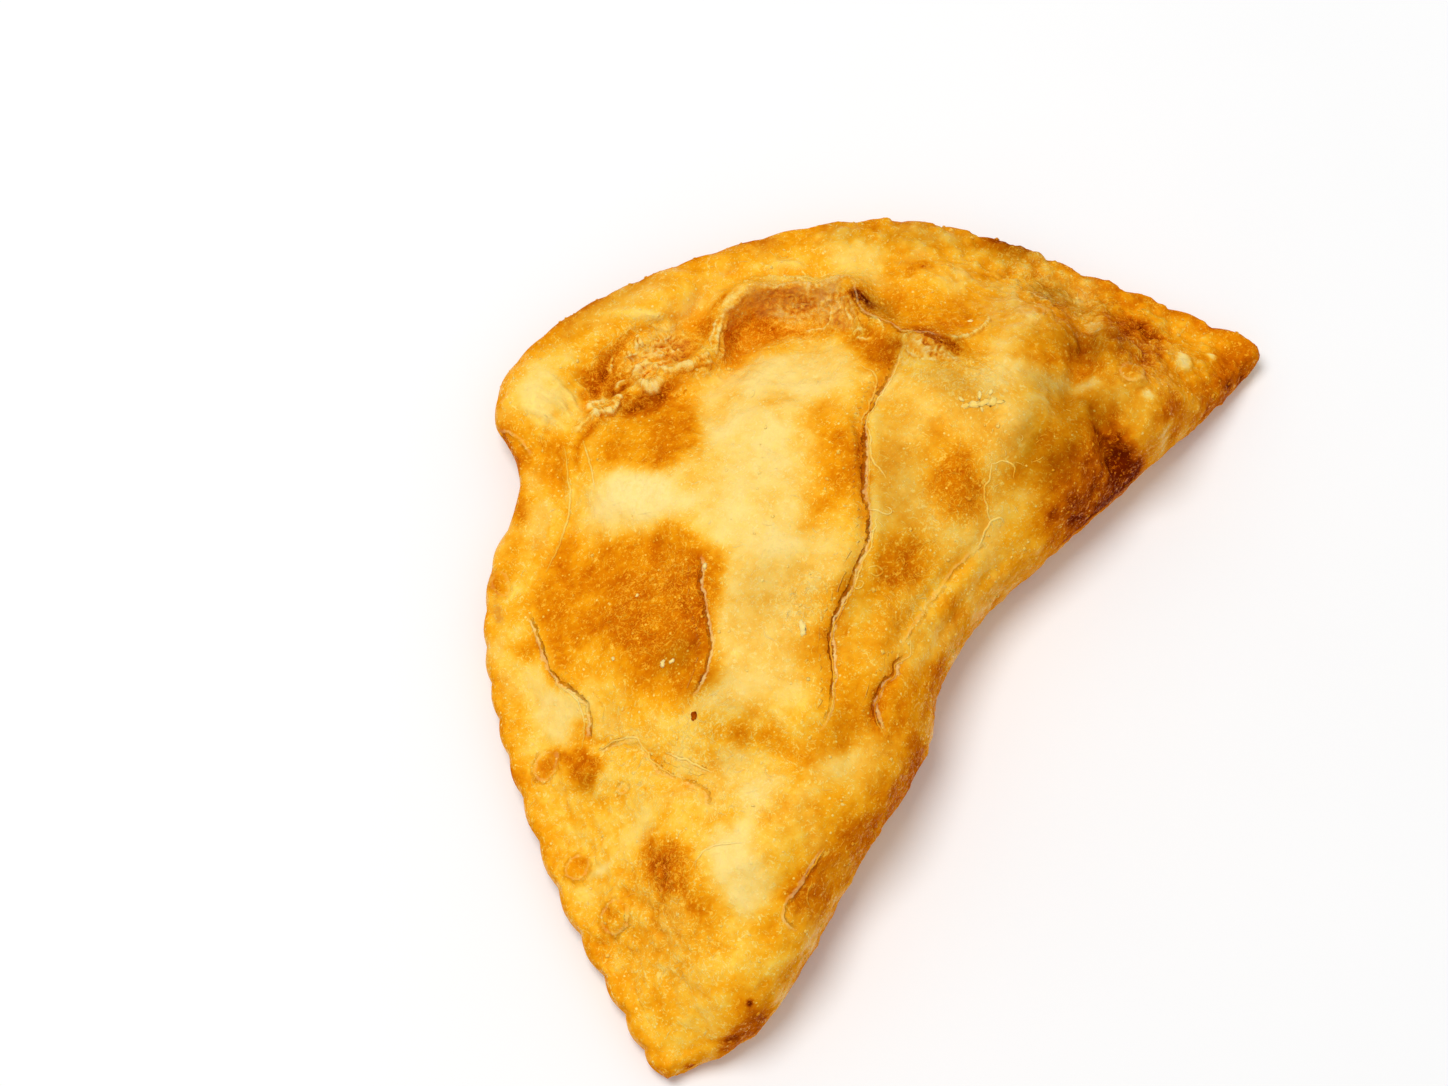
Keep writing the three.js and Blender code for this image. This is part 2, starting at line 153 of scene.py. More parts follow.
# The small relief, which only the crust's fine surface carries
CREASES = [
    Wrinkle([(-31, 18.5, 0), (-34, 13.5, -0.5), (-35.8, 10, -0.6), (-36, 4, -0.5), (-38, 1.2, -0.6),
             (-40.3, -1.5, -0.4), (-38.7, -4, 0)], 0.35, 0.35),
    Wrinkle([(-12.8, 0.5, 0), (-16.1, -2.3, -0.4), (-18.5, -5, -0.5), (-21.2, -7.7, -0.5),
             (-24.3, -9.2, -0.4), (-28.7, -10.3, 0)], 0.5, 0.35),
    Wrinkle([(33, 0, -0.3), (24, -1.8, -0.6), (18, -4, -0.7), (15.5, -6, -0.7), (8, -12.3, -0.7),
             (3.2, -16.3, -0.6), (-3.4, -18.4, -0.5), (-10.5, -20.5, -0.4), (-16.3, -25.4, -0.3),
             (-23.8, -27.3, 0)], 0.45, 0.4),
    Wrinkle([(27, -2.6, 0.3), (20, -4.6, 0.5), (16.6, -7, 0.5), (12.5, -10.2, 0.4),
             (7.5, -14.6, 0.5), (3, -17.6, 0.5), (-3, -20, 0.3), (-9, -21.4, 0)], 0.5, 0.9),
    Wrinkle([(-17, -35, 0), (-15.5, -32, -0.9), (-12, -30.8, -1), (-6, -30.4, -0.6),
             (4, -30, 0)], 0.8, 0.7),
    Wrinkle([(-28, -10.3, 0), (-26, -15, -0.3), (-25.5, -21, -0.35), (-25.8, -28, 0)], 0.7, 0.9),
    Wrinkle([(-40.9, -3.1, 0), (-38, -8, -0.4), (-38.8, -13, -0.5), (-38.2, -19, -0.5),
             (-40, -23, 0)], 0.6, 0.8),
    Wrinkle([(-51, -30, 0), (-47.4, -25.4, 0.5), (-44.5, -26.2, 0.5), (-40.5, -30, 0)], 0.5, 1.6),
    Wrinkle([(9, 41.5, 0), (12.2, 39, 0.6), (14.2, 36.2, 0.8), (16, 33, 0.5)], 0.9, 0.7),
    Wrinkle([(0, 33, 0), (6, 33.4, -0.7), (11, 34.2, -0.8), (15, 32.2, -0.6),
             (19, 30, 0)], 0.8, 0.8),
    Wrinkle([(31, 29, 0), (33, 25, 0.6), (35.6, 22.6, 0.8), (37, 18, 0)], 0.7, 0.9),
    Wrinkle([(30, 26, 0), (31.5, 23.2, 0.5), (34, 19.8, 0.6), (36.5, 18, 0)], 0.6, 0.6),
    Wrinkle([(60, -5, 0), (55, -5, 0.5), (50.5, -7, 0.5), (46, -9.5, 0)], 0.8, 0.8),
    Wrinkle([(38.6, -20.8, 0), (36.4, -22.8, 0.5), (33.3, -24.4, 0.5), (30.2, -24.6, 0.5),
             (24.6, -26.1, 0)], 1.6, 0.4),
    Wrinkle([(-6.6, 31, 0), (-5.4, 34, 0.5), (-6.4, 38, 0.3), (-8, 41, 0)], 0.35, 0.35),
    Wrinkle([(-4.8, 31, 0), (-3.4, 34.5, 0.5), (-4, 39, 0.3), (-5, 43, 0)], 0.4, 0.3),
    Wrinkle([(-3, 31, 0), (-1.4, 34.5, 0.5), (-1.2, 39, 0.3), (-2, 43, 0)], 0.35, 0.4),
    Wrinkle([(-1, 30.6, 0), (0.8, 33.5, 0.5), (1.4, 37, 0.2), (1, 40, 0)], 0.3, 0.4),
    Wrinkle([(1, 30, 0), (3, 32, 0.4), (4.6, 35, 0)], 0.35, 0.35),
    Wrinkle([(-8.4, 31, 0), (-8.2, 33.5, 0.4), (-9.6, 37, 0)], 0.4, 0.3),
]
# Where the skin is blistered, where it is gathered by the seal, where torn skin is wrinkled, and
# where grains lie thickest
ROUGH = [
    Spot(57, -7, 13, 7, -60, 1), Spot(48, 17, 14, 4.5, -52, 0.8), Spot(60, -29, 10, 9, 0, 0.8),
    Spot(-56, -23, 14, 7, 60, 0.6), Spot(51, -19, 8, 6, -40, 0.7), Spot(44, -28, 6, 5, 0, 0.5),
    Spot(-44, -4, 7, 6, 40, 0.35), Spot(-36, -28, 10, 6, -30, 0.3),
]
GATHERED = [
    Spot(12, 28, 8, 5, -15, 0.6), Spot(34, 21, 4, 5, -30, 0.6), Spot(35, -4, 4, 5, 20, 0.5),
    Spot(-6, 34, 5, 6, 0, 0.3),
]
CRUMPLED = [
    Spot(13.4, 28.6, 3.6, 3, -30, 1.1), Spot(9, 27.6, 3, 2.2, 0, 0.5),
    Spot(31, 17, 5.5, 1.8, -48, 0.7), Spot(32.4, 11.4, 2.4, 2, 0, 0.7),
    Spot(33.4, -4.6, 1.6, 4.4, 0, 0.9), Spot(0, 30, 3.4, 1.4, -10, 0.6),
    Spot(37, 20, 2.6, 1.8, -50, 0.5), Spot(18, 22.6, 4, 1.2, 20, 0.4),
]
GRAINY = [
    Spot(58, -8, 8, 10, 0, 1.2), Spot(62, -30, 8, 8, 0, 0.8), Spot(20, 24, 16, 5, 0, 1),
    Spot(34, 4, 6, 16, 0, 0.8), Spot(0, -16, 20, 4, 28, 0.8), Spot(-50, -22, 6, 5, 0, 1),
]


class PastrySettings(bpy.types.PropertyGroup):
    """The pastry's sizes, and how many slivers and grains lie on it"""

    span: bpy.props.FloatProperty(
        name="Span", description="Tip to tip", default=SPAN * MM, unit="LENGTH", precision=4)
    depth: bpy.props.FloatProperty(
        name="Depth", description="From the fold to the top of the rim", default=DEPTH * MM,
        unit="LENGTH", precision=4)
    dough: bpy.props.FloatProperty(
        name="Dough", description="Thickness of the sealed flange", default=4.4 * MM,
        unit="LENGTH", precision=4)
    belly: bpy.props.FloatProperty(
        name="Belly", description="Height of the fold's outermost line", default=9 * MM,
        unit="LENGTH", precision=4)
    crown: bpy.props.FloatProperty(
        name="Crown", description="Height of the puffed pocket above the belly line",
        default=14.5 * MM, unit="LENGTH", precision=4)
    pitch: bpy.props.FloatProperty(
        name="Flute pitch", description="Length of one flute of the cutting wheel",
        default=6.3 * MM, unit="LENGTH", precision=4)
    flute: bpy.props.FloatProperty(
        name="Flute depth", description="How far a flute stands out", default=0.8 * MM,
        unit="LENGTH", precision=4)
    flecks: bpy.props.IntProperty(
        name="Flecks", description="Slivers of dry skin curling off the crust", default=1100,
        min=1, max=4800)
    grains: bpy.props.IntProperty(
        name="Grains", description="Small grains of dough on the crust", default=700,
        min=1, max=1900)


def smooth(x):
    """3x^2 - 2x^3 on x held between 0 and 1."""
    x = np.clip(x, 0, 1)
    return x * x * (3 - 2 * x)


def rounded(x):
    """A quarter circle's height at a share x of the way in from its edge."""
    return np.sqrt(np.clip(1 - (1 - np.clip(x, 0, 1)) ** 2, 0, 1))


def falloff(distance, reach):
    """exp(-(distance / reach)^2)."""
    return np.exp(-((distance / reach) ** 2))


def unit(vectors):
    """The vectors, each made 1 long."""
    return vectors / np.maximum(np.linalg.norm(vectors, axis=-1, keepdims=True), 1e-9)


def turned(x, y, ahead, aside, degrees):
    """Places at steps ahead of and to the left of x, y, for a direction in degrees."""
    turn = math.radians(degrees)
    return np.stack([x + ahead * math.cos(turn) - aside * math.sin(turn),
                     y + ahead * math.sin(turn) + aside * math.cos(turn)], -1)


def graded(pairs, at):
    """Straight-line values between (place, value) pairs."""
    places, values = np.array(pairs, float).T
    return np.interp(at, places, values)


def spline(points, steps):
    """A Catmull-Rom curve through the points, with the end points mirrored past the ends."""
    p = np.array(points, float)
    p = np.vstack([2 * p[0] - p[1], p, 2 * p[-1] - p[-2]])
    t = np.linspace(0, 1, steps + 1)[:-1, None]
    a, b, c, d = (p[k:len(p) - 3 + k, None] for k in range(4))
    curve = 0.5 * (2 * b + (c - a) * t + (2 * a - 5 * b + 4 * c - d) * t ** 2
                   + (3 * b - a - 3 * c + d) * t ** 3)
    return np.vstack([curve.reshape(-1, p.shape[1]), p[-2]])


def at_share(curve, share):
    """Points at shares of the curve's length."""
    length = np.r_[0, np.cumsum(np.linalg.norm(np.diff(curve, axis=0), axis=1))]
    columns = [np.interp(share * length[-1], length, column) for column in curve.T]
    return np.stack(columns, -1)


# Random directions: the slopes of the noise, and the offsets of the pebbles
SLOPES = unit(np.random.default_rng(7).normal(size=(4096, 3)))


def scrambled(cell, seed):
    """A whole number from 0 to 4095 for each cell of a lattice, the same on each run."""
    mixed = cell[..., 0] * 73856093 ^ cell[..., 1] * 19349663 ^ cell[..., 2] * 83492791
    mixed = (mixed + seed * 2654435) * 40503
    return (mixed >> 7) & 4095


def noise(points, seed):
    """Gradient noise of about -1 to 1: each lattice corner has a slope, blended between corners
    by 6t^5 - 15t^4 + 10t^3."""
    cell = np.floor(points).astype(np.int64)
    part = points - cell
    fade = part ** 3 * (part * (part * 6 - 15) + 10)
    total = np.zeros(points.shape[:-1])
    for corner in np.ndindex(2, 2, 2):
        weight = np.prod(np.where(corner, fade, 1 - fade), axis=-1)
        slope = SLOPES[scrambled(cell + np.array(corner), seed)]
        total += weight * np.einsum("...k,...k", slope, part - np.array(corner))
    return total * 1.6


def fractal(points, seed, octaves, gain=0.5):
    """Layers of noise, each twice as fine and gain times as strong."""
    layers = [gain ** k * noise(points * 2 ** k, seed + k) for k in range(octaves)]
    return sum(layers)


def pebbles(points, seed):
    """Distance to the nearest of one random point in each unit cell of the lattice."""
    cell = np.floor(points).astype(np.int64)
    nearest = np.full(points.shape[:-1], 9.0)
    for step in np.ndindex(3, 3, 3):
        beside = cell + np.array(step) - 1
        middle = beside + 0.5 + 0.42 * SLOPES[scrambled(beside, seed)]
        nearest = np.minimum(nearest, np.linalg.norm(points - middle, axis=-1))
    return nearest


def beside_path(x, y, curve, reach):
    """For places within reach of a curve: a mask of them, their distance to it, positive on its
    left, the curve's third column there, and the share of the way along it. The side is told
    from the curve's direction, which turns evenly from point to point."""
    low, high = curve[:, :2].min(0) - reach, curve[:, :2].max(0) + reach
    near = (x > low[0]) & (x < high[0]) & (y > low[1]) & (y < high[1])
    px, py = x[near], y[near]
    heading = np.gradient(curve[:, :2], axis=0)
    best = np.full(px.shape, np.inf)
    signed, value, share = np.zeros((3, *px.shape))
    extra = curve[:, 2] if curve.shape[1] > 2 else np.zeros(len(curve))
    for k in range(len(curve) - 1):
        (ax, ay), (dx, dy) = curve[k, :2], curve[k + 1, :2] - curve[k, :2]
        t = np.clip(((px - ax) * dx + (py - ay) * dy) / (dx * dx + dy * dy), 0, 1)
        off_x, off_y = px - ax - t * dx, py - ay - t * dy
        distance = np.hypot(off_x, off_y)
        closer = distance < best
        head_x, head_y = (heading[k, a] + t * (heading[k + 1, a] - heading[k, a]) for a in (0, 1))
        side = np.where(head_x * off_y - head_y * off_x > 0, 1, -1)
        best = np.where(closer, distance, best)
        signed = np.where(closer, distance * side, signed)
        value = np.where(closer, extra[k] + t * (extra[k + 1] - extra[k]), value)
        share = np.where(closer, (k + t) / (len(curve) - 1), share)
    return near, signed, value, share


def wrinkled(x, y, wrinkle):
    """A crest with its own height along its path, falling off as exp(-(distance / reach)^2)."""
    curve = spline(wrinkle.path, 6)
    reach = 3 * max(wrinkle.rimward, wrinkle.foldward)
    near, signed, height, _ = beside_path(x, y, curve, reach)
    rimward = (signed > 0) == (curve[0, 0] < curve[-1, 0])
    width = np.where(rimward, wrinkle.rimward, wrinkle.foldward)
    lift = np.zeros(x.shape)
    lift[near] = height * falloff(signed, width)
    return lift


def oval(x, y, spot):
    """Squared distance from a spot's middle, as shares of its reach along and across."""
    turn = math.radians(spot.turn)
    dx, dy = x - spot.x, y - spot.y
    along = (dx * math.cos(turn) + dy * math.sin(turn)) / spot.along
    across = (dy * math.cos(turn) - dx * math.sin(turn)) / spot.across
    return along ** 2 + across ** 2


def swelling(x, y, spots):
    """Soft lumps, exp(-r^2), added up."""
    return sum(spot.amount * np.exp(-oval(x, y, spot)) for spot in spots)


def blistered(x, y, spot):
    """A round-topped blister, sqrt(1 - r^2)."""
    return spot.amount * np.sqrt(np.clip(1 - oval(x, y, spot), 0, 1))


class Sizes(NamedTuple):
    """The panel's sizes, in millimetres."""

    span: float
    depth: float
    dough: float
    belly: float
    crown: float
    pitch: float
    flute: float


class Skin:
    """The plain skin between rim and fold, before its relief. A place on it is a share u of the
    way from tip to tip and a share w from the rim to the fold, on the top (side 1) or underneath
    (side -1)."""

    TURN = 0.46  # the power with which the dome falls to the fold
    EDGE = 1.8  # how far in the sheet's edge is rounded
    LIFT = 0.4  # the tips' height above the floor
    ARCH = 3.2  # how much higher the flange is in the middle
    ROUND = 11  # how far in the belly is rounded at the fold
    FLUTE_REACH = 2.5
    SEAL_REACH = 7
    CROWDING = 1.6  # how much closer rows lie by the seal
    FULL_WIDTH = 66  # a pocket as wide as this has its full height
    TAPERS = (0.12, 0.16)  # the shares of the rim over which the two tips thin out

    def __init__(self, sizes):
        size = np.array((sizes.span / 2, sizes.depth))
        self.sizes = sizes
        self.rim_curve = spline(np.array(RIM) * size, 40)
        self.fold_curve = spline(np.array(FOLD) * size, 40)
        steps = np.diff(self.rim_curve, axis=0)
        self.rim_length = np.linalg.norm(steps, axis=1).sum()

    def places(self, u, w, side):
        """Points (x, y, z), and each one's distance from the rim and from the fold. The pocket
        starts inside the flange, rises in a skewed dome s^rise (1 - s)^turn, turns under at the
        fold in a quarter circle, and is as high as its width allows."""
        rim, fold = at_share(self.rim_curve, u), at_share(self.fold_curve, u)
        width = np.linalg.norm(rim - fold, axis=-1)
        flange, rise = graded(FLANGE, u), graded(RISE, u)
        from_rim, from_fold = w * width, (1 - w) * width
        pocket = np.maximum(width - flange, 1e-6)
        s = np.clip((from_rim - flange) / pocket, 0, 1)
        left, right = self.TAPERS
        size = np.minimum(1, pocket / self.FULL_WIDTH) ** 0.55
        size = size * smooth(u / left) * smooth((1 - u) / right)
        tip = self.sizes.dough / 2 + self.LIFT
        flange_middle = tip + self.ARCH * np.sin(np.pi * np.clip(u, 0, 1)) ** 0.8
        belly = tip + (self.sizes.belly - tip) * size
        middle = flange_middle + (belly - flange_middle) * smooth(s * 1.6)
        half = self.sizes.dough / 2 * rounded(np.minimum(from_rim, from_fold) / self.EDGE)
        if side > 0:
            crest = rise / (rise + self.TURN)
            dome = (s / crest) ** rise * ((1 - s) / (1 - crest)) ** self.TURN
            z = middle + half + self.sizes.crown * size * dome
        else:
            under = belly * rounded(from_fold / self.ROUND)
            z = np.maximum(0, middle - half - smooth(s * 2.2) * under)
        plan = rim + (fold - rim) * w[..., None]
        plan = plan + self.fluting(u) * falloff(from_rim, self.FLUTE_REACH)[..., None]
        return np.concatenate([plan, z[..., None]], -1), from_rim, from_fold

    def near_seal(self, u, from_rim):
        """1 on the seal, where the pocket starts, and 0 far from it."""
        return falloff(from_rim - graded(FLANGE, u), self.SEAL_REACH)

    def fluting(self, u):
        """Rounded lobes between sharp notches, |sin|, across the rim, deepest near the tips."""
        before, after = (at_share(self.rim_curve, np.clip(u + d, 0, 1)) for d in (-1e-3, 1e-3))
        tangent = unit(after - before)
        uneven = 0.8 * np.sin(23 * u)
        lobes = np.abs(np.sin(np.pi * u * self.rim_length / self.sizes.pitch + uneven))
        depth = self.sizes.flute * (0.25 + 0.75 * np.cos(np.pi * u) ** 2)
        depth *= smooth(u * 40) * smooth((1 - u) * 40) * (lobes - 0.65)
        return np.stack([-tangent[..., 1], tangent[..., 0]], -1) * depth[..., None]

    def row_places(self, u, side, rows):
        """Values of w that space rows evenly along the skin, but closer together by the seal."""
        fine = 0.5 - 0.5 * np.cos(np.pi * np.linspace(0, 1, 240))
        u_fine, w_fine = np.meshgrid(u, fine, indexing="ij")
        points, from_rim, _ = self.places(u_fine, w_fine, side)
        crowded = 1 + self.CROWDING * self.near_seal(u_fine, from_rim)
        steps = np.linalg.norm(np.diff(points, axis=1), axis=-1) * crowded[:, 1:]
        length = np.concatenate([np.zeros((len(u), 1)), np.cumsum(steps, axis=1)], axis=1)
        share = length / length[:, -1:]
        start = 2.0 * np.arange(len(u))[:, None]
        wanted = np.linspace(0, 1, rows + 1)[None] + start
        found = np.interp(wanted.ravel(), (share + start).ravel(), w_fine.ravel())
        found = found.reshape(len(u), rows + 1)
        found[:, 0], found[:, -1] = 0, 1
        return found


def unevenness(p):
    """Gentle waves of 15 to 30 mm that cross each other."""
    x, y, z = np.moveaxis(p, -1, 0)
    return (0.45 * np.sin(0.23 * x + 0.11 * y + 1.3) * np.cos(0.19 * y - 0.07 * x + 0.2 * z)
            + 0.3 * np.sin(0.37 * x - 0.29 * y + 0.25 * z + 2.1)
            + 0.2 * np.cos(0.16 * x + 0.41 * y - 0.3 * z))


def ring_normals(points):
    """Unit normals of a grid of closed rings, from the differences along and round the rings."""
    along = np.gradient(points, axis=0)
    round_ring = np.roll(points, -1, axis=1) - np.roll(points, 1, axis=1)
    return unit(np.cross(round_ring, along))


class Crust:
    """The pastry's whole surface: rings of points from rim to fold over the top and back
    underneath, between a point at each tip."""

    SECTIONS = 520
    TOP_ROWS = 158
    UNDER_ROWS = 30
    UPWARD = 0.5  # how much the relief leans upward
    SEAL_UPWARD = 3  # and how much more by the seal
    LIP_PLACE, LIP_REACH = 0.62, 0.16  # where sections lie closer together
    GRAIN, NET, PEBBLES, FOLDS = 0.27, 0.1, 0.7, 0.32  # heights of the small relief
    COARSE = (12, 6)  # sections and rows between the points from which a search starts
    CELL = 2.0  # the side of the squares that look up where a search starts
    ROUNDS = 9  # of Newton's method

    def __init__(self, sizes):
        skin = Skin(sizes)
        even = np.linspace(0, 1, 400)
        density = 1 + 0.8 * falloff(even[1:] - self.LIP_PLACE, self.LIP_REACH)
        filled = np.r_[0, np.cumsum(density)] / density.sum()
        u = np.interp(np.arange(1, self.SECTIONS + 1) / (self.SECTIONS + 1), filled, even)
        top_w = skin.row_places(u, 1, self.TOP_ROWS)
        under_w = skin.row_places(u, -1, self.UNDER_ROWS)[:, -2:0:-1]
        top_u, under_u = (np.broadcast_to(u[:, None], w.shape) for w in (top_w, under_w))
        top, under = skin.places(top_u, top_w, 1), skin.places(under_u, under_w, -1)
        plain, from_rim, from_fold = (np.concatenate(pair, axis=1) for pair in zip(top, under))
        self.over = np.concatenate([np.ones_like(top_w), np.zeros_like(under_w)], axis=1)
        self.plain, self.from_rim, self.from_fold = plain, from_rim, from_fold
        lean = self.UPWARD + self.SEAL_UPWARD * skin.near_seal(u[:, None], from_rim)
        self.points = self.raised(plain, self.main_relief(), lean)
        self.small = self.small_relief()
        self.points = self.raised(self.points, self.small, 0 * lean)
        self.normals = ring_normals(self.points)
        ends = at_share(skin.rim_curve, np.array((0.0, 1.0)))
        tip_height = skin.sizes.dough / 2 + skin.LIFT
        self.tips = np.c_[ends, (tip_height, tip_height)]
        self.marks = crust_marks(self)

    def raised(self, points, lift, lean):
        """Points moved along their normals, which lean upward, and kept above the floor."""
        lean = np.where(self.over > 0, lean, -lean)
        normal = unit(ring_normals(points) + np.stack([0 * lean, 0 * lean, lean], -1))
        moved = points + normal * lift[..., None]
        moved[..., 2] = np.maximum(moved[..., 2], 0)
        return moved

    def main_relief(self):
        """The wrinkles, lumps and blisters of the solid part, in millimetres, which fade at the
        outline, where the two sheets meet."""
        x, y, z = np.moveaxis(self.plain, -1, 0)
        lift = sum(wrinkled(x, y, wrinkle) for wrinkle in WRINKLES)
        lift += swelling(x, y, LUMPS)
        lift += sum(blistered(x, y, blister) for blister in BLISTERS)
        waves = unevenness(self.plain)
        lift = np.where(self.over > 0, lift + waves, waves * smooth(z / 3))
        return lift * smooth(self.from_rim / 3) * smooth(self.from_fold / 1.5)

    def small_relief(self):
        """Creases, a grain of layered noise, a net of faint wrinkles, pebbly blisters and
        gathered skin by the seal, in millimetres."""
        p = self.points
        x, y, z = np.moveaxis(self.plain, -1, 0)
        wx, wy = x + 0.5 * noise(p / 3, 11), y + 0.5 * noise(p / 3, 12)
        lift = sum(wrinkled(wx, wy, crease) for crease in CREASES)
        lift = np.where(self.over > 0, lift, 0)
        lift += self.GRAIN * fractal(p / 4.5, 21, 4, 0.58)
        bent = p + 1.2 * np.stack([noise(p / 4, 23), noise(p / 4, 24), 0 * x], -1)
        lift += self.NET * (1 - 2.2 * np.abs(noise(bent / 3.2, 25)))
        rough = np.clip(0.12 + swelling(x, y, ROUGH), 0, 1)
        bumps = smooth(1.15 - 1.7 * pebbles(p / 2.6, 31))
        bumps = bumps + 0.5 * smooth(1.1 - 1.8 * pebbles(p / 1.3, 32))
        lift += rough * self.PEBBLES * (bumps - 0.4)
        gathered = np.where(self.over > 0, np.clip(swelling(x, y, GATHERED), 0, 1), 0)
        folds = 1 - 2 * np.abs(noise(np.stack([x / 1.6, y / 2.6, z / 3], -1) + 0.4 * bent / 3, 41))
        lift += gathered * self.FOLDS * folds
        return lift * smooth(self.from_rim / 1.2) * smooth(p[..., 2] / 1.5)

    def locate(self, places):
        """Grid coordinates (section, row) of places (x, y) on the top of the plain skin, by
        Newton's method from the nearest of a coarse grid's points."""
        top = self.plain[:, :self.TOP_ROWS + 1, :2]
        sections, rows = self.COARSE
        coarse = top[::sections, ::rows]
        low = top.reshape(-1, 2).min(0)
        cells = np.floor((places - low) / self.CELL).astype(int)
        count = 2 + cells.max(0)
        middles = np.stack(np.meshgrid(*map(np.arange, count), indexing="ij"), -1)
        middles = low + self.CELL / 2 + self.CELL * middles.reshape(-1, 1, 2)
        away = ((middles - coarse.reshape(1, -1, 2)) ** 2).sum(-1)
        nearest = away.argmin(1).reshape(count)
        cells = np.clip(cells, 0, count - 1)
        start = nearest[cells[:, 0], cells[:, 1]]
        section = 1.0 * sections * (start // coarse.shape[1])
        row = 1.0 * rows * (start % coarse.shape[1])
        for _ in range(self.ROUNDS):
            miss = places - self.sample(top, section, row)
            along = self.sample(top, section + 1, row) - self.sample(top, section - 1, row)
            across = self.sample(top, section, row + 1) - self.sample(top, section, row - 1)
            area = along[:, 0] * across[:, 1] - along[:, 1] * across[:, 0]
            area = np.where(np.abs(area) < 1e-6, 1e-6, area) / 2
            step = (miss[:, 0] * across[:, 1] - miss[:, 1] * across[:, 0]) / area
            section = np.clip(section + np.clip(step, -15, 15), 1, self.SECTIONS - 2)
            step = (along[:, 0] * miss[:, 1] - along[:, 1] * miss[:, 0]) / area
            row = np.clip(row + np.clip(step, -10, 10), 1, self.TOP_ROWS - 1)
        return section, row

    @staticmethod
    def sample(grid, section, row):
        """Values of a grid between its points, straight from one to the next."""
        i = np.clip(np.floor(section).astype(int), 0, grid.shape[0] - 2)
        j = np.clip(np.floor(row).astype(int), 0, grid.shape[1] - 2)
        s, r = section - i, row - j
        if grid.ndim > 2:
            s, r = s[:, None], r[:, None]
        near = grid[i, j] + s * (grid[i + 1, j] - grid[i, j])
        far = grid[i, j + 1] + s * (grid[i + 1, j + 1] - grid[i, j + 1])
        return near + r * (far - near)

    def over_places(self, places):
        """The skin's points, normals and marks over places (x, y) of any array shape."""
        shape = places.shape[:-1]
        where = self.locate(places.reshape(-1, 2))
        points = self.sample(self.points, *where).reshape(*shape, 3)
        normals = unit(self.sample(self.normals, *where).reshape(*shape, 3))
        marks = {key: self.sample(grid, *where).reshape(shape)
                 for key, grid in self.marks.items()}
        return points, normals, marks


class Patch(NamedTuple):
    """A patch of skin: its outline, how browned, rosy or fibrous it is there, how wide a band its
    edge fades over, and how milky it is."""

    outline: list
    amount: float
    edge: float
    milky: float = 0


def loop(x, y, along, across, turn=0):
    """A closed oval outline, turned by degrees."""
    angle = np.linspace(0, 2 * np.pi, 14, endpoint=False)
    return list(turned(x, y, along * np.cos(angle), across * np.sin(angle), turn))


def blot(x, y, along, across, turn, *look):
    """An oval patch with its amount, edge and milkiness."""
    return Patch(loop(x, y, along, across, turn), *look)


def covered(x, y, outline, edge):
    """1 inside a closed outline and 0 outside it, with a soft edge between. A place is inside if
    a line from it towards +X crosses the outline an odd number of times."""
    curve = spline([*outline, outline[0]], 4)
    near, signed, _, _ = beside_path(x, y, curve, edge)
    px, py = x[near], y[near]
    inside = np.zeros(px.shape, bool)
    for (ax, ay), (bx, by) in zip(curve[:-1], curve[1:]):
        if ay != by:
            inside ^= ((ay > py) != (by > py)) & (px < ax + (py - ay) * (bx - ax) / (by - ay))
    cover = np.zeros(x.shape)
    cover[near] = smooth(0.5 + np.where(inside, 1, -1) * np.abs(signed) / edge)
    return cover


PLAIN_BROWNED = 0.26  # away from the patches
FADING = 1.7  # how much wider the patches' edges fade

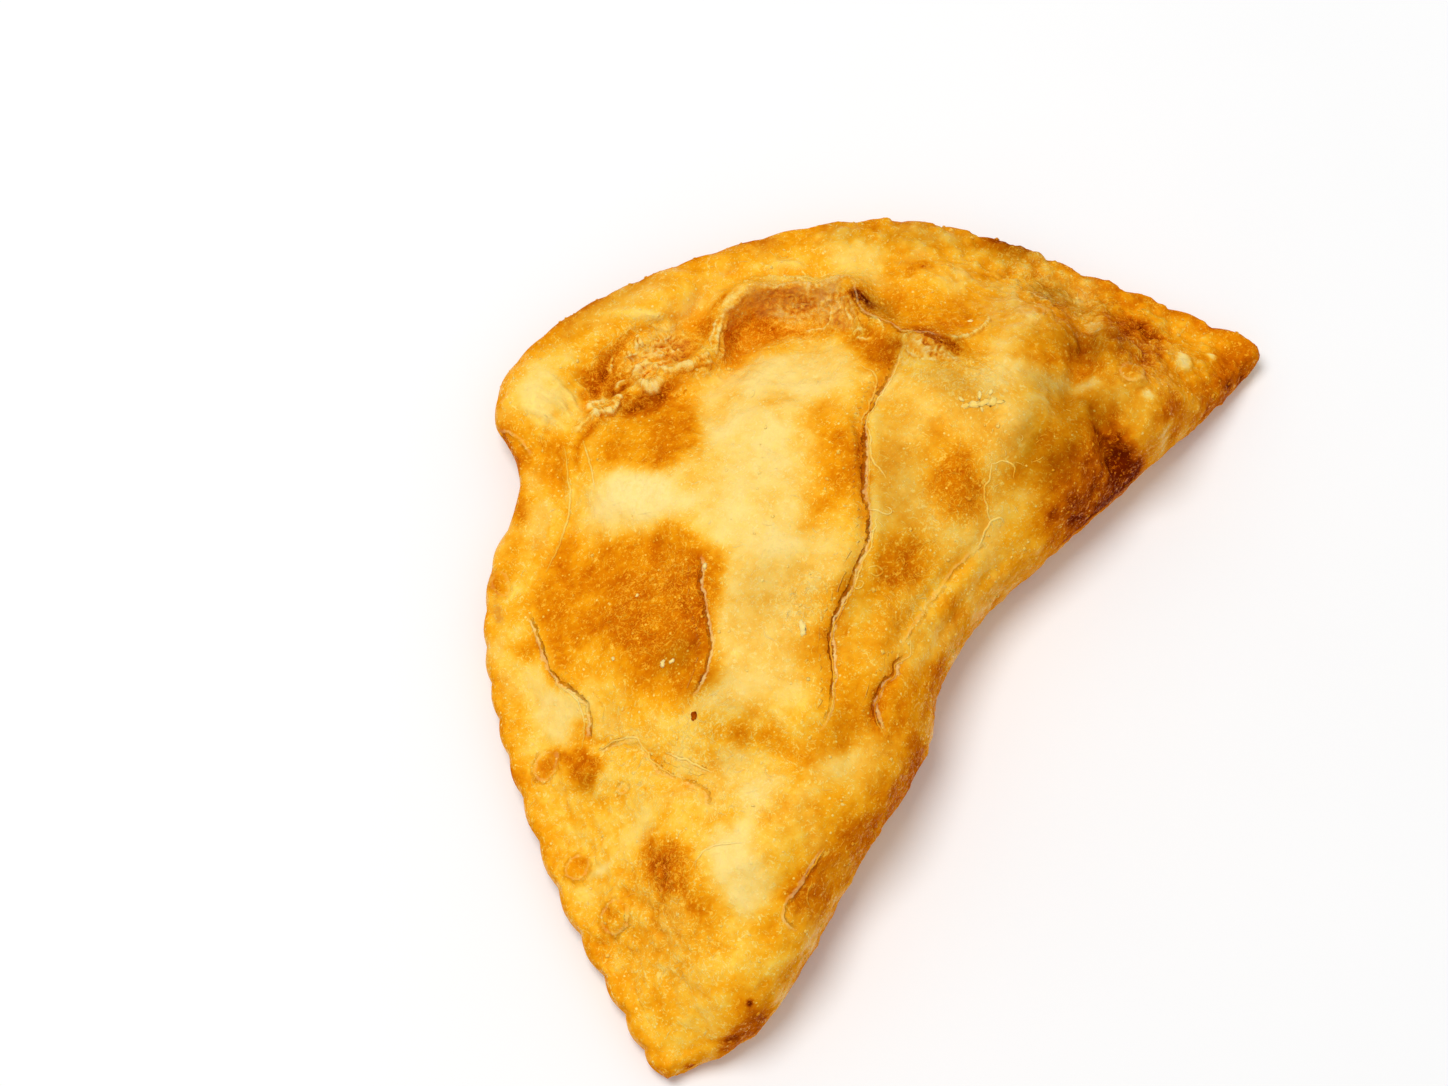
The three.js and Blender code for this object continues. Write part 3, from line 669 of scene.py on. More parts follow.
# Colours of the top, each painted over those before it
PATCHES = [
    Patch([(27, 12), (26, 5), (20, 1), (13, -1), (6, -6), (2, -10), (-2, -15), (-8, -18),
           (-14, -21), (-20, -22), (-28, -14), (-22, -9), (-17, -3), (-10, 1), (-8, 6), (-12, 13),
           (-15, 17), (-12, 22), (-7, 22), (-4, 16), (1, 13), (5, 15), (8, 19), (15, 19),
           (22, 17)], 0.13, 4, 0.65),
    Patch([(-13, 20), (-9, 21.5), (-4, 15), (-1, 10), (-5, 8), (-10, 12)], 0, 3, 1),
    Patch([(22, 14), (20, 6), (13, 3), (5, -1), (-3, -4), (-5, 3), (2, 9), (8, 16),
           (16, 17)], 0.1, 5, 0.75),
    Patch([(-5, -8), (-1, -12), (-8, -17), (-16, -19), (-22, -15), (-17, -8),
           (-11, -6)], 0.23, 5, 0.6),
    Patch([(12, -8), (20, -6), (28, -6), (34, -10), (37, -14), (34, -20), (30, -24), (24, -26),
           (18, -27), (10, -26), (8, -20), (8, -14)], 0.29, 4, 0.4),
    Patch([(38, -9), (43, -12), (46, -17), (43, -22), (38, -23), (34, -24), (31, -23), (32, -18),
           (34, -13)], 0.16, 4, 0.6),
    Patch([(-9.5, 3.6), (-9.3, -1), (-11, -3.3), (-14, -3.4), (-17, -4.5), (-20.5, -7), (-23, -8.8),
           (-28.5, -10.3), (-27.5, -6), (-27, -2), (-28, 3), (-31, 6), (-36, 8), (-35, 11),
           (-33, 14), (-30.5, 18.5), (-25, 19.3), (-19, 18.5), (-15, 15.5), (-12, 11.5),
           (-10, 7)], 0.53, 2.4),
    Patch([(-11, 1), (-13, -3), (-18, -4.5), (-21, -7), (-24, -7.5), (-26, -3), (-26, 2), (-24, 6),
           (-20, 6), (-16, 4)], 0.66, 3),
    Patch([(-16, 12), (-20, 13), (-22, 10), (-18, 8), (-13, 6), (-11, 5), (-12, 9)], 0.6, 3),
    Patch([(-27, 5), (-30, 7), (-34, 7), (-33, 2), (-29, 1)], 0.34, 3),
    blot(-28, -4, 3.6, 5.6, 0, 0.56, 3), blot(-25.4, 2.4, 3, 5, 0, 0.66, 3),
    blot(-22, 19.5, 5, 2.4, 10, 0.52, 3), blot(-35.4, 15, 1.6, 3, -30, 0.36, 2),
    blot(-10, -19.5, 8, 2.4, 12, 0.46, 3), blot(-15, -26, 5, 3.4, 0, 0.42, 3),
    blot(-18, -31, 9, 2.6, 0, 0.5, 3), blot(-4, -26, 5, 3, 0, 0.4, 3, 0.1),
    blot(-9, -34, 9, 2.4, 10, 0.5, 3), blot(-30, -39.5, 14, 2.4, -3, 0.52, 3),
    blot(-54, -26, 8, 8, 0, 0.36, 6, 0.1), blot(-60, -22, 3, 3, 0, 0.32, 3),
    blot(-50.5, -28, 3, 4, 0, 0.52, 4), blot(-40.4, 0.4, 2, 1.4, 20, 0.4, 1.6),
    blot(37, -21, 4, 2, -40, 0.26, 3), blot(44, -17, 4, 3, -45, 0.46, 3),
    blot(46, -21, 5, 2.4, -30, 0.5, 2.6), blot(53, -16, 5, 3, -45, 0.45, 3),
    blot(50, -22, 5, 4, -40, 0.56, 3), blot(60, -20, 3.4, 4, 0, 0.54, 3),
    blot(50, -31, 6, 4, -20, 0.5, 3, 0.1), blot(31, -25, 5, 2, 20, 0.46, 2),
    blot(16, 26, 8, 3, 5, 0.46, 4, 0.1), blot(36, -8, 3, 4, 0, 0.4, 3),
    Patch([(-9, 25), (-4, 27.8), (1, 27.5), (4, 25.6), (8, 23.4), (11, 22), (9, 19), (6, 16.5),
           (3.8, 14), (1, 12.8), (-3, 14), (-5, 17.5), (-6, 21.5)], 0.48, 3),
    Patch([(6, 19), (4, 15.5), (1, 14.5), (-2, 15.5), (-1, 18.5), (2, 20)], 0.62, 3),
    Patch([(19, 1.5), (17.5, -4), (15, -6.8), (11.7, -9.2), (8.8, -11.2), (6, -10.8), (2.5, -9.2),
           (0.5, -8), (4, -5.5), (8, -2), (12, 1.5), (16, 4)], 0.46, 4),
    Patch([(14, -2.5), (15, -6), (11.5, -9), (8, -9.5), (9, -5.5)], 0.58, 2.6),
    Patch([(24, -13), (24, -18), (22, -23), (16, -25), (13, -23), (15, -18),
           (19, -13)], 0.42, 3, 0.1),
    blot(18.8, -20.8, 4.2, 3, 35, 0.6, 3),
    Patch([(3.5, -16.7), (8, -19), (9.5, -22.5), (5, -25.8), (-1.5, -24), (-4, -21),
           (0, -18.5)], 0.54, 2.6),
    blot(4.8, -22.3, 2.6, 1.8, 30, 0.64, 2),
    Patch([(35.5, -26.5), (32, -26), (29, -27), (25.5, -30), (23, -33.5), (27, -37), (34, -38.5),
           (41, -38.5), (44, -37), (43, -33.5), (40.5, -30), (38.5, -28.5)], 0.6, 3.4),
    Patch([(33, -29), (29, -32), (30, -36), (36, -37), (41, -37), (40, -33.5), (37, -31)], 0.66, 3),
    Patch([(38.8, -31.5), (37, -34), (36, -37), (38.5, -39), (42.4, -38), (41.2, -35.5),
           (39.6, -34)], 0.75, 1.8),
    Patch([(58, -6), (61, -12), (60, -16), (56, -15), (53, -12), (54, -8)], 0.4, 3, 0.3),
    Patch([(61, -18), (66, -24), (69, -31), (69, -38), (64, -40), (58, -41), (52, -41), (56, -36),
           (60, -33), (61, -28)], 0.42, 4),
    Patch([(66, -34), (69, -36), (68, -40), (62, -41), (58, -40.6), (62, -37)], 0.56, 3),
    Patch([(44, -27), (48, -27), (51, -31), (52, -37), (47, -40), (43, -37), (42, -32),
           (41, -28.5)], 0.32, 3, 0.2),
    Patch([(57.5, -17.8), (60.5, -21.2), (61.8, -24.5), (61.8, -27), (59, -28.6), (56, -30),
           (52.5, -28), (51.6, -25), (54.6, -21)], 0.76, 1.6),
    Patch([(53.4, -17.8), (52, -20), (49.5, -21.8), (46, -23.4), (43, -24), (45, -22), (48.5, -20),
           (51, -18)], 0.58, 1.5),
    Patch([(52, -21), (50, -25), (47, -25.5), (46, -23.5), (50, -21.5)], 0.46, 1.6),
    Patch([(34, 9), (37, 10), (40, 7), (44, 2), (45, -2), (44, -6), (40, -7), (36, -4.5), (33.5, 0),
           (33, 5)], 0.48, 3),
    Patch([(34, 9), (36.4, 6), (35, 2), (33.5, 3)], 0.6, 2), blot(40.6, -3.6, 2.4, 1.8, 0, 0.62, 2),
    blot(46, 7, 2, 1.3, -45, 0.48, 1.5),
    Patch([(29.5, 8.5), (32.5, 5), (32.5, 0), (29, -1), (25.5, -1.2), (25.5, 0.7),
           (28, 4)], 0.62, 1.8),
    Patch([(15.5, 21), (18, 21.8), (22, 23.6), (26.5, 23), (27, 20), (27.6, 17.5), (29.3, 14.5),
           (31.4, 12), (31.5, 8), (29, 7), (28.5, 11), (26, 14.8), (24, 16.6), (21, 18),
           (17.5, 19)], 0.58, 2),
    Patch([(20, 22), (24, 22.8), (26.8, 21), (27.3, 18), (25.5, 18.5), (22, 20.5)], 0.7, 1.6),
    Patch([(-2, 33), (2, 36.5), (6, 37), (9, 36), (9, 33), (5, 31), (1, 31), (-3, 31)], 0.48, 2.6),
    blot(3.4, 33.3, 2.6, 1.7, 45, 0.72, 1.6), blot(0.3, 33, 1.2, 0.8, 0, 0.58, 1),
    Patch([(-9.5, 26.2), (-4, 28.2), (2, 27.6), (6, 24.4), (11, 22.3), (12, 23), (7, 25.5),
           (2.5, 28.4), (-3, 29.2), (-8, 28)], 0.76, 1.3),
    Patch([(15, 28), (19, 28.5), (22, 28), (19.5, 25.5), (17, 24)], 0.44, 2),
    blot(24.5, 26.9, 1.7, 1, -10, 0.62, 1.2), blot(19.2, 25.2, 1.2, 0.7, 20, 0.66, 0.8),
    Patch([(-12, 37.5), (-9, 36), (-8.5, 33), (-7, 30.5), (-9, 28), (-12.5, 26.5), (-14, 28),
           (-13, 31.5), (-14, 35)], 0.46, 2),
    blot(-4, 38, 5, 3, 45, 0.03, 3, 0.5), blot(-29.2, 24.6, 2, 1.4, 60, 0.54, 1.2),
    blot(-25, 18.6, 2.6, 1.2, 20, 0.54, 1.6),
    Patch([(-39, 11), (-42, 8), (-43, 3), (-40.5, -0.5), (-38, 0.3), (-37, 3),
           (-36.8, 7)], 0.04, 2, 0.6),
    blot(-36.5, 14, 5, 1.8, 60, 0.1, 2, 0.2), blot(-46.2, 2.2, 2.4, 1.8, 10, 0.46, 0.8, 0.1),
    Patch([(-41.5, -1), (-44.5, 1.2), (-45.5, -1.5), (-46, -5), (-44.5, -6.4), (-42.5, -5),
           (-41.5, -3)], 0.64, 1.3),
    blot(-44, -10, 1.1, 1, 0, 0.3, 0.5), blot(-55, -10.8, 2, 1.8, 0, 0.44, 0.8),
    blot(-53.4, -13.8, 1.3, 0.6, -30, 0.05, 0.8, 0.7), blot(-57.5, -19.8, 2.4, 2.2, 0, 0.42, 0.9),
    Patch([(-46, -17), (-45.4, -21), (-47, -24.5), (-50, -28.5), (-51.5, -29.5), (-52, -27),
           (-52, -23.5), (-50.5, -20), (-48.5, -17)], 0.62, 2.4),
    blot(-48.8, -23.4, 2.2, 2.6, 40, 0.66, 2), blot(-50, -30, 1.8, 1.2, 40, 0.48, 1.4),
    blot(-54, -27.4, 2.8, 2.2, 30, 0.34, 1.4, 0.3),
    Patch([(-43.2, -24.8), (-37.8, -28.4), (-40, -32), (-44, -36.4), (-48, -36), (-48, -31),
           (-45, -27.5)], 0.1, 2.2, 0.75),
    Patch([(-35, -24), (-31, -27), (-33.5, -30), (-37, -29), (-37, -26)], 0.12, 2.4, 0.8),
    blot(-24, -33, 4, 2.6, -40, 0.14, 3, 0.5), blot(-29.4, -19.3, 1.9, 1.7, 0, 0.6, 1.7),
    Patch([(-25.5, -22), (-26.5, -26), (-26, -29), (-28, -27.5), (-29, -23.5),
           (-27.5, -21.5)], 0.46, 1.7),
    blot(-21.6, -31.2, 2, 1.8, 0, 0.56, 1.9), blot(-15.3, -32.8, 2, 1.2, 50, 0.5, 1.4),
    Patch([(-32, -36), (-26, -38.5), (-22, -38), (-27, -35), (-31, -33.5)], 0.4, 2.6),
    Patch([(-55.5, -43.5), (-57, -42), (-60, -42), (-63, -43), (-61, -45), (-57, -45.4),
           (-55, -44.8)], 0.52, 2.2),
    blot(-57.3, -44, 1.2, 0.8, 0, 0.58, 1.2), blot(-56.3, -42.7, 0.4, 0.4, 0, 0.95, 0.4),
    Patch([(-61, -29), (-63, -34), (-65, -36), (-64, -32), (-62, -28)], 0.44, 2),
    blot(-67.6, -41.3, 1.2, 0.7, 0, 0.72, 0.8),
    Patch([(48.6, -9), (51.2, -8.5), (51.2, -9.9), (50.5, -12.2), (48.6, -13.9), (46.5, -14.2),
           (45.9, -12.8), (46.8, -10.7)], 0.2, 1.4, 0.7),
    blot(51.9, -11, 0.7, 0.7, 0, 0.5, 0.5), blot(53.4, -9.8, 0.8, 0.7, 0, 0.55, 0.6),
    blot(54.5, -12.8, 1.6, 1.2, 0, 0.58, 1.2), blot(56.5, -9.7, 1.2, 1, 0, 0.56, 1),
    blot(59.4, -13.6, 1.2, 0.8, 0, 0.2, 1, 0.8), blot(53.2, -19.6, 1.6, 0.9, 60, 0.26, 0.8, 0.8),
    blot(52.3, -20.4, 0.8, 0.8, 0, 0.2, 0.6, 0.8), blot(58.2, -32, 1.3, 0.8, 60, 0, 0.7, 1),
    blot(63.5, -34.5, 0.7, 0.7, 0, 0.1, 0.6, 1), blot(48.9, -28.9, 2, 2, 0, 0.4, 0.8, 0.3),
    blot(48.6, -29.4, 1, 1, 0, 0.5, 0.8, 0.2), blot(43.6, -25.4, 2, 1, -30, 0.16, 1, 0.7),
    blot(47.2, -32.2, 0.7, 0.7, 0, 0.05, 0.6, 1), blot(47.4, -37, 1.3, 1, 0, 0.16, 0.8, 0.7),
    blot(50.2, -34.6, 0.9, 0.9, 0, 0.2, 0.7, 0.6), blot(35.8, 18.5, 0.25, 0.25, 0, 0.85, 0.3),
    blot(46, 6, 0.3, 0.3, 0, 0.75, 0.3), blot(30.5, 20, 2.4, 1.2, -50, 0.7, 1.2),
    blot(35.3, 9.6, 1, 2.4, 10, 0.88, 1), blot(35.4, -4, 1.2, 4.4, 0, 0.74, 1.2),
    blot(5, 24.8, 4, 1, -22, 0.78, 1), blot(-10, 34, 2.6, 6, 10, 0.44, 3),
    blot(-1, 10.4, 4, 2.4, 0, 0.3, 3, 0.4), blot(11, 15.2, 3, 1.8, 0, 0.26, 2.4, 0.5),
    blot(15, 9.6, 2.6, 2.4, 0, 0.26, 2.4, 0.6), blot(1, 0, 3, 2.4, 0, 0.16, 3, 0.6),
    blot(-5, -5, 3, 3, 0, 0, 2.4, 0.8), blot(10, 0.4, 2, 1.8, 0, 0.16, 2.4, 0.5),
    blot(25, 0.8, 1.8, 1.2, 0, 0.24, 1.6, 0.3), blot(-19, 30, 1, 3, -40, 0.4, 2),
    blot(-25, 25.4, 3.4, 1.6, 30, 0.44, 2), blot(-35, 15, 1.6, 2.4, 30, 0.5, 1.6),
    blot(42.6, 15, 3.4, 2.4, -40, 0.1, 2.4, 0.3), blot(24.4, 15.2, 3, 1.4, -30, 0.28, 1.6),
    blot(35, 20.6, 2.4, 1.4, -50, 0.46, 1.6), blot(60, 0, 3, 2.4, -50, 0.56, 2),
    blot(-49.8, 5, 0.8, 3, 0, 0.44, 1.4), blot(-45.4, 5.6, 2, 1.2, 0, 0.1, 1.4, 0.1),
    blot(-47, -15, 4, 1.8, 0, 0.12, 2.4, 0.1), blot(-37, -15.4, 3, 2, 0, 0.14, 2.4, 0.1),
    blot(-30, -15, 2, 2, 0, 0.3, 2), blot(12.6, -25.6, 3.4, 1.6, 0, 0.2, 2, 0.3),
    blot(25.4, -25.4, 2, 1.4, 0, 0.52, 2), blot(-2.6, -30.4, 4, 1.8, 0, 0.16, 2.4, 0.2),
    blot(5.4, -30.4, 2, 1.2, 0, 0.48, 1.6), blot(-15.4, -29.6, 2.4, 1.4, 0, 0.38, 2),
    blot(49.6, -35.4, 2.4, 1.8, 0, 0.64, 2), blot(25, 25.4, 2, 0.9, 0, 0.2, 1, 0.5),
    blot(-40, -40, 3, 2, 0, 0.62, 2), blot(-15, -39, 3, 2, 0, 0.5, 2),
    blot(15, 26, 2, 1.4, 0, 0.66, 1.6), blot(20, 26, 2, 1.2, 0, 0.62, 1.4),
    blot(-45, -20, 1.6, 3, 0, 0.24, 2), blot(-26, -10, 3, 2, 0, 0.5, 2),
    blot(-40, 0.4, 2, 1.6, 0, 0.42, 2), blot(-34.4, -31, 2.6, 2, 0, 0.34, 3, 0.3),
    blot(-25, -29, 4, 2, 0, 0.4, 3), blot(51, -27, 4, 3, 0, 0.58, 2.4),
    blot(40, -25.6, 4, 2, -30, 0.5, 2), blot(41.6, -30.4, 1.8, 2.4, 0, 0.63, 2),
    blot(39.6, -32.4, 0.7, 3, 15, 0.82, 0.8), blot(50, -10, 1, 6, -30, 0.46, 2),
    blot(30.6, 0.2, 1.6, 1.2, 0, 0.68, 1), blot(4.8, 30.2, 1.8, 1.6, 20, 0.84, 1.4),
]
ROSY = [
    Patch([(27.6, 24.6), (30.2, 22.4), (32.2, 19.8), (33.6, 16.8), (35.4, 14.9), (36.4, 13.9),
           (34, 13.6), (32.4, 14), (31, 15.2), (30, 16.8), (29.2, 18.6), (28, 20.6),
           (26, 22)], 0.85, 1.2),
    Patch([(20.5, 24.2), (23.5, 25.2), (27.6, 24.6), (27, 22.6), (24, 23.2), (21.4, 22.8)], 0.6, 1),
    Patch([(30.1, 13.7), (32.5, 14), (34.2, 12.4), (34.1, 10), (32.1, 7.4), (31, 9),
           (30.5, 11)], 0.6, 0.8),
    Patch([(12, 32.2), (15.4, 31.6), (16, 28.4), (16.8, 26.6), (14.2, 25.4), (11.4, 25),
           (10.5, 26.5), (11.7, 28.8), (10.9, 30.6)], 0.35, 1.4),
    blot(-33.5, 22, 1.8, 1, 50, 0.6, 1), blot(-46.5, -16.6, 1.5, 1, 0, 0.3, 1),
    blot(33.2, -4, 1.2, 3.4, 5, 0.3, 1),
]
FIBROUS = [
    Patch([(15, 20), (17, 26), (27, 26), (34, 20), (38, 13), (36, 4), (30, 6), (27, 12),
           (22, 18)], 1, 3),
    Patch([(-4, 28), (2, 26), (9, 23), (16, 21), (18, 27), (17, 33), (10, 36), (2, 35)], 1, 2),
    blot(-20, 2, 8, 7, 0, 0.75, 5), blot(33, -8, 5, 9, 0, 0.8, 3), blot(-9, -15, 5, 3, 0, 0.8, 3),
    blot(-31, -14, 6, 4, 0, 0.9, 3), blot(3, -24, 8, 4, 20, 0.6, 3),
    blot(-40, -10, 6, 8, 20, 0.6, 4), blot(-50, -23, 5, 6, 0, 0.8, 3),
    blot(58, -10, 6, 10, 0, 0.8, 3), blot(55, -26, 8, 9, 0, 0.5, 4),
    blot(-58, -28, 5, 10, 20, 0.5, 4), blot(-33, -22, 9, 8, 0, 0.45, 4),
    blot(18, -22, 8, 5, 0, 0.5, 4),
]

# Painted shade: hollows, creases and slopes where shade falls, darkened in colour
SHADED = [
    Spot(31, -23.5, 6, 2.6, 20, 0.7), Spot(40, -21, 5, 3, -50, 0.55),
    Spot(48, -18.5, 7, 3, -35, 0.5), Spot(56, -15, 5, 4, -40, 0.4), Spot(51, -24, 6, 4, -30, 0.6),
    Spot(40, -27, 5, 3.4, -20, 0.65), Spot(31, -28.6, 6, 2.6, 0, 0.8),
    Spot(43, -30, 4, 2.6, 0, 0.4), Spot(-4, -19.5, 6, 2.6, 25, 0.5), Spot(-15, -20, 5, 3, 0, 0.2),
    Spot(-26, -11, 4, 2, -25, 0.4), Spot(-28, -18, 5, 5, 0, 0.3), Spot(12, -15, 12, 5, 40, 0.45),
    Spot(32, 0, 2, 2, 0, 0.4), Spot(36, 8, 1.6, 4, 10, 0.8), Spot(36, -6, 2, 3, 0, 0.5),
    Spot(-10, -9, 7, 5, 0, 0.3), Spot(31, -11, 3, 7, 0, 0.4), Spot(-22, -31, 6, 3, 0, 0.35),
    Spot(4, 25.6, 4, 1, -20, 0.4), Spot(24, -24, 8, 3, 10, 0.3), Spot(48, -8, 5, 8, -40, 0.25),
    Spot(5, 30.4, 2.6, 2, 0, 0.25), Spot(-36, -1, 4, 3, 0, 0.15), Spot(-25, -5, 3.4, 2.4, -30, 0.6),
    Spot(-45, -5, 1.6, 2, 0, 0.4), Spot(51, 11, 8, 3, -50, 0.4), Spot(59.4, -1, 5, 3, -55, 0.8),
    Spot(56, -10, 3, 3, 0, 0.6), Spot(45, 20, 3, 2, -45, 0.3), Spot(15, 41, 12, 3, -12, 0.25),
    Spot(30, 1, 3, 5, 0, 0.2),
]


# Cracks and sharp folds, each drawn as a dark line along its path, partly painted shade in the groove,
# and a pale line on its left, partly painted light on the lit lip
CRACKS = [
    Line([(33, -0.2), (29.5, -0.9), (25.5, -1.7), (22.6, -2.6), (19.8, -3.3), (17.4, -4.5),
          (15.8, -6.2), (13.5, -8), (11.7, -9.3), (8.9, -11.3), (7.6, -13), (5, -14.9),
          (3.2, -16.2), (-0.6, -17.2), (-3.4, -18.4), (-7.8, -19.3), (-10.5, -20.5), (-13, -22.5),
          (-16.3, -25.4), (-20.3, -27.5), (-23.8, -27.3)], 1),
    Line([(-40.3, -0.8), (-39.3, -0.5), (-36.7, 1.5), (-36, 3.8), (-36.1, 7.4), (-34.9, 11),
          (-33, 13.6), (-31.3, 16.1), (-30.2, 18.7)], 0.8),
    Line([(-11.5, 2), (-12.8, 0.5), (-15.4, -1.3), (-16.1, -2.3), (-18.2, -4.3), (-21.2, -7.7),
          (-24.3, -9.2), (-27, -10), (-28.7, -10.3)], 0.8),
    Line([(-5, -30.2), (-7.6, -29.9), (-9.1, -30.7), (-11, -30.4), (-12.8, -30.8), (-14.5, -31.4),
          (-15.8, -33), (-16.6, -34.9)], 0.8),
    Line([(-6, -29.3), (2, -28.6), (10, -28.2), (16, -28.9)], 0.35),
    Line([(36.8, 12.2), (35.4, 11), (34.2, 9.4), (33.4, 7.4), (33.8, 5), (34.2, 2.9), (33.4, 0.4),
          (34.6, -1.2), (35.4, -2.9), (36.2, -4.4)], 0.55),
    Line([(-12, 41), (-11, 37), (-12, 33.5)], 0.4),
    Line([(-36.9, -6.8), (-38.9, -4.2), (-40.9, -3.1)], 0.6),
    Line([(-38.6, -15.2), (-38.9, -12), (-37.8, -8.3)], 0.4),
    Line([(-39.5, -22.1), (-38, -19.4), (-38.6, -15.2)], 0.4),
    Line([(-35.8, -19), (-36.1, -15.1), (-36.8, -11.6)], 0.35),
    Line([(-44.7, -42), (-45.2, -40.4), (-43.7, -39.2), (-41.4, -39.4), (-39.2, -38.9),
          (-36.2, -38.6), (-34.2, -38.3)], 0.6),
]
# Blister outlines drawn the same way: their dark and pale lines are partly painted shade and light at
# the rims
CRACKS += [Line([*ring, ring[0]], shown) for ring, shown in (
    (loop(-46.2, 2.2, 2.6, 1.9, 10), 0.3), (loop(-55, -10.8, 2.1, 1.9), 0.26),
    (loop(-57.5, -19.8, 2.5, 2.3), 0.26), (loop(-43.6, -9.4, 1.1, 1), 0.3),
    (loop(48.9, -28.9, 2.2, 2), 0.28), (loop(53.4, -9.8, 1.5, 1.3), 0.4),
    (loop(48.5, -11.4, 3.4, 2, 50), 0.16), (loop(-29.4, 24.6, 2.2, 1.6, 60), 0.2))]


class Ridge(NamedTuple):
    """A fine crest of torn skin, or a cleft: its path of (x, y, height), its reach to the left
    and to the right, and how browned, milky and rosy it is."""

    path: list
    left: float
    right: float
    browned: float
    milky: float
    rosy: float


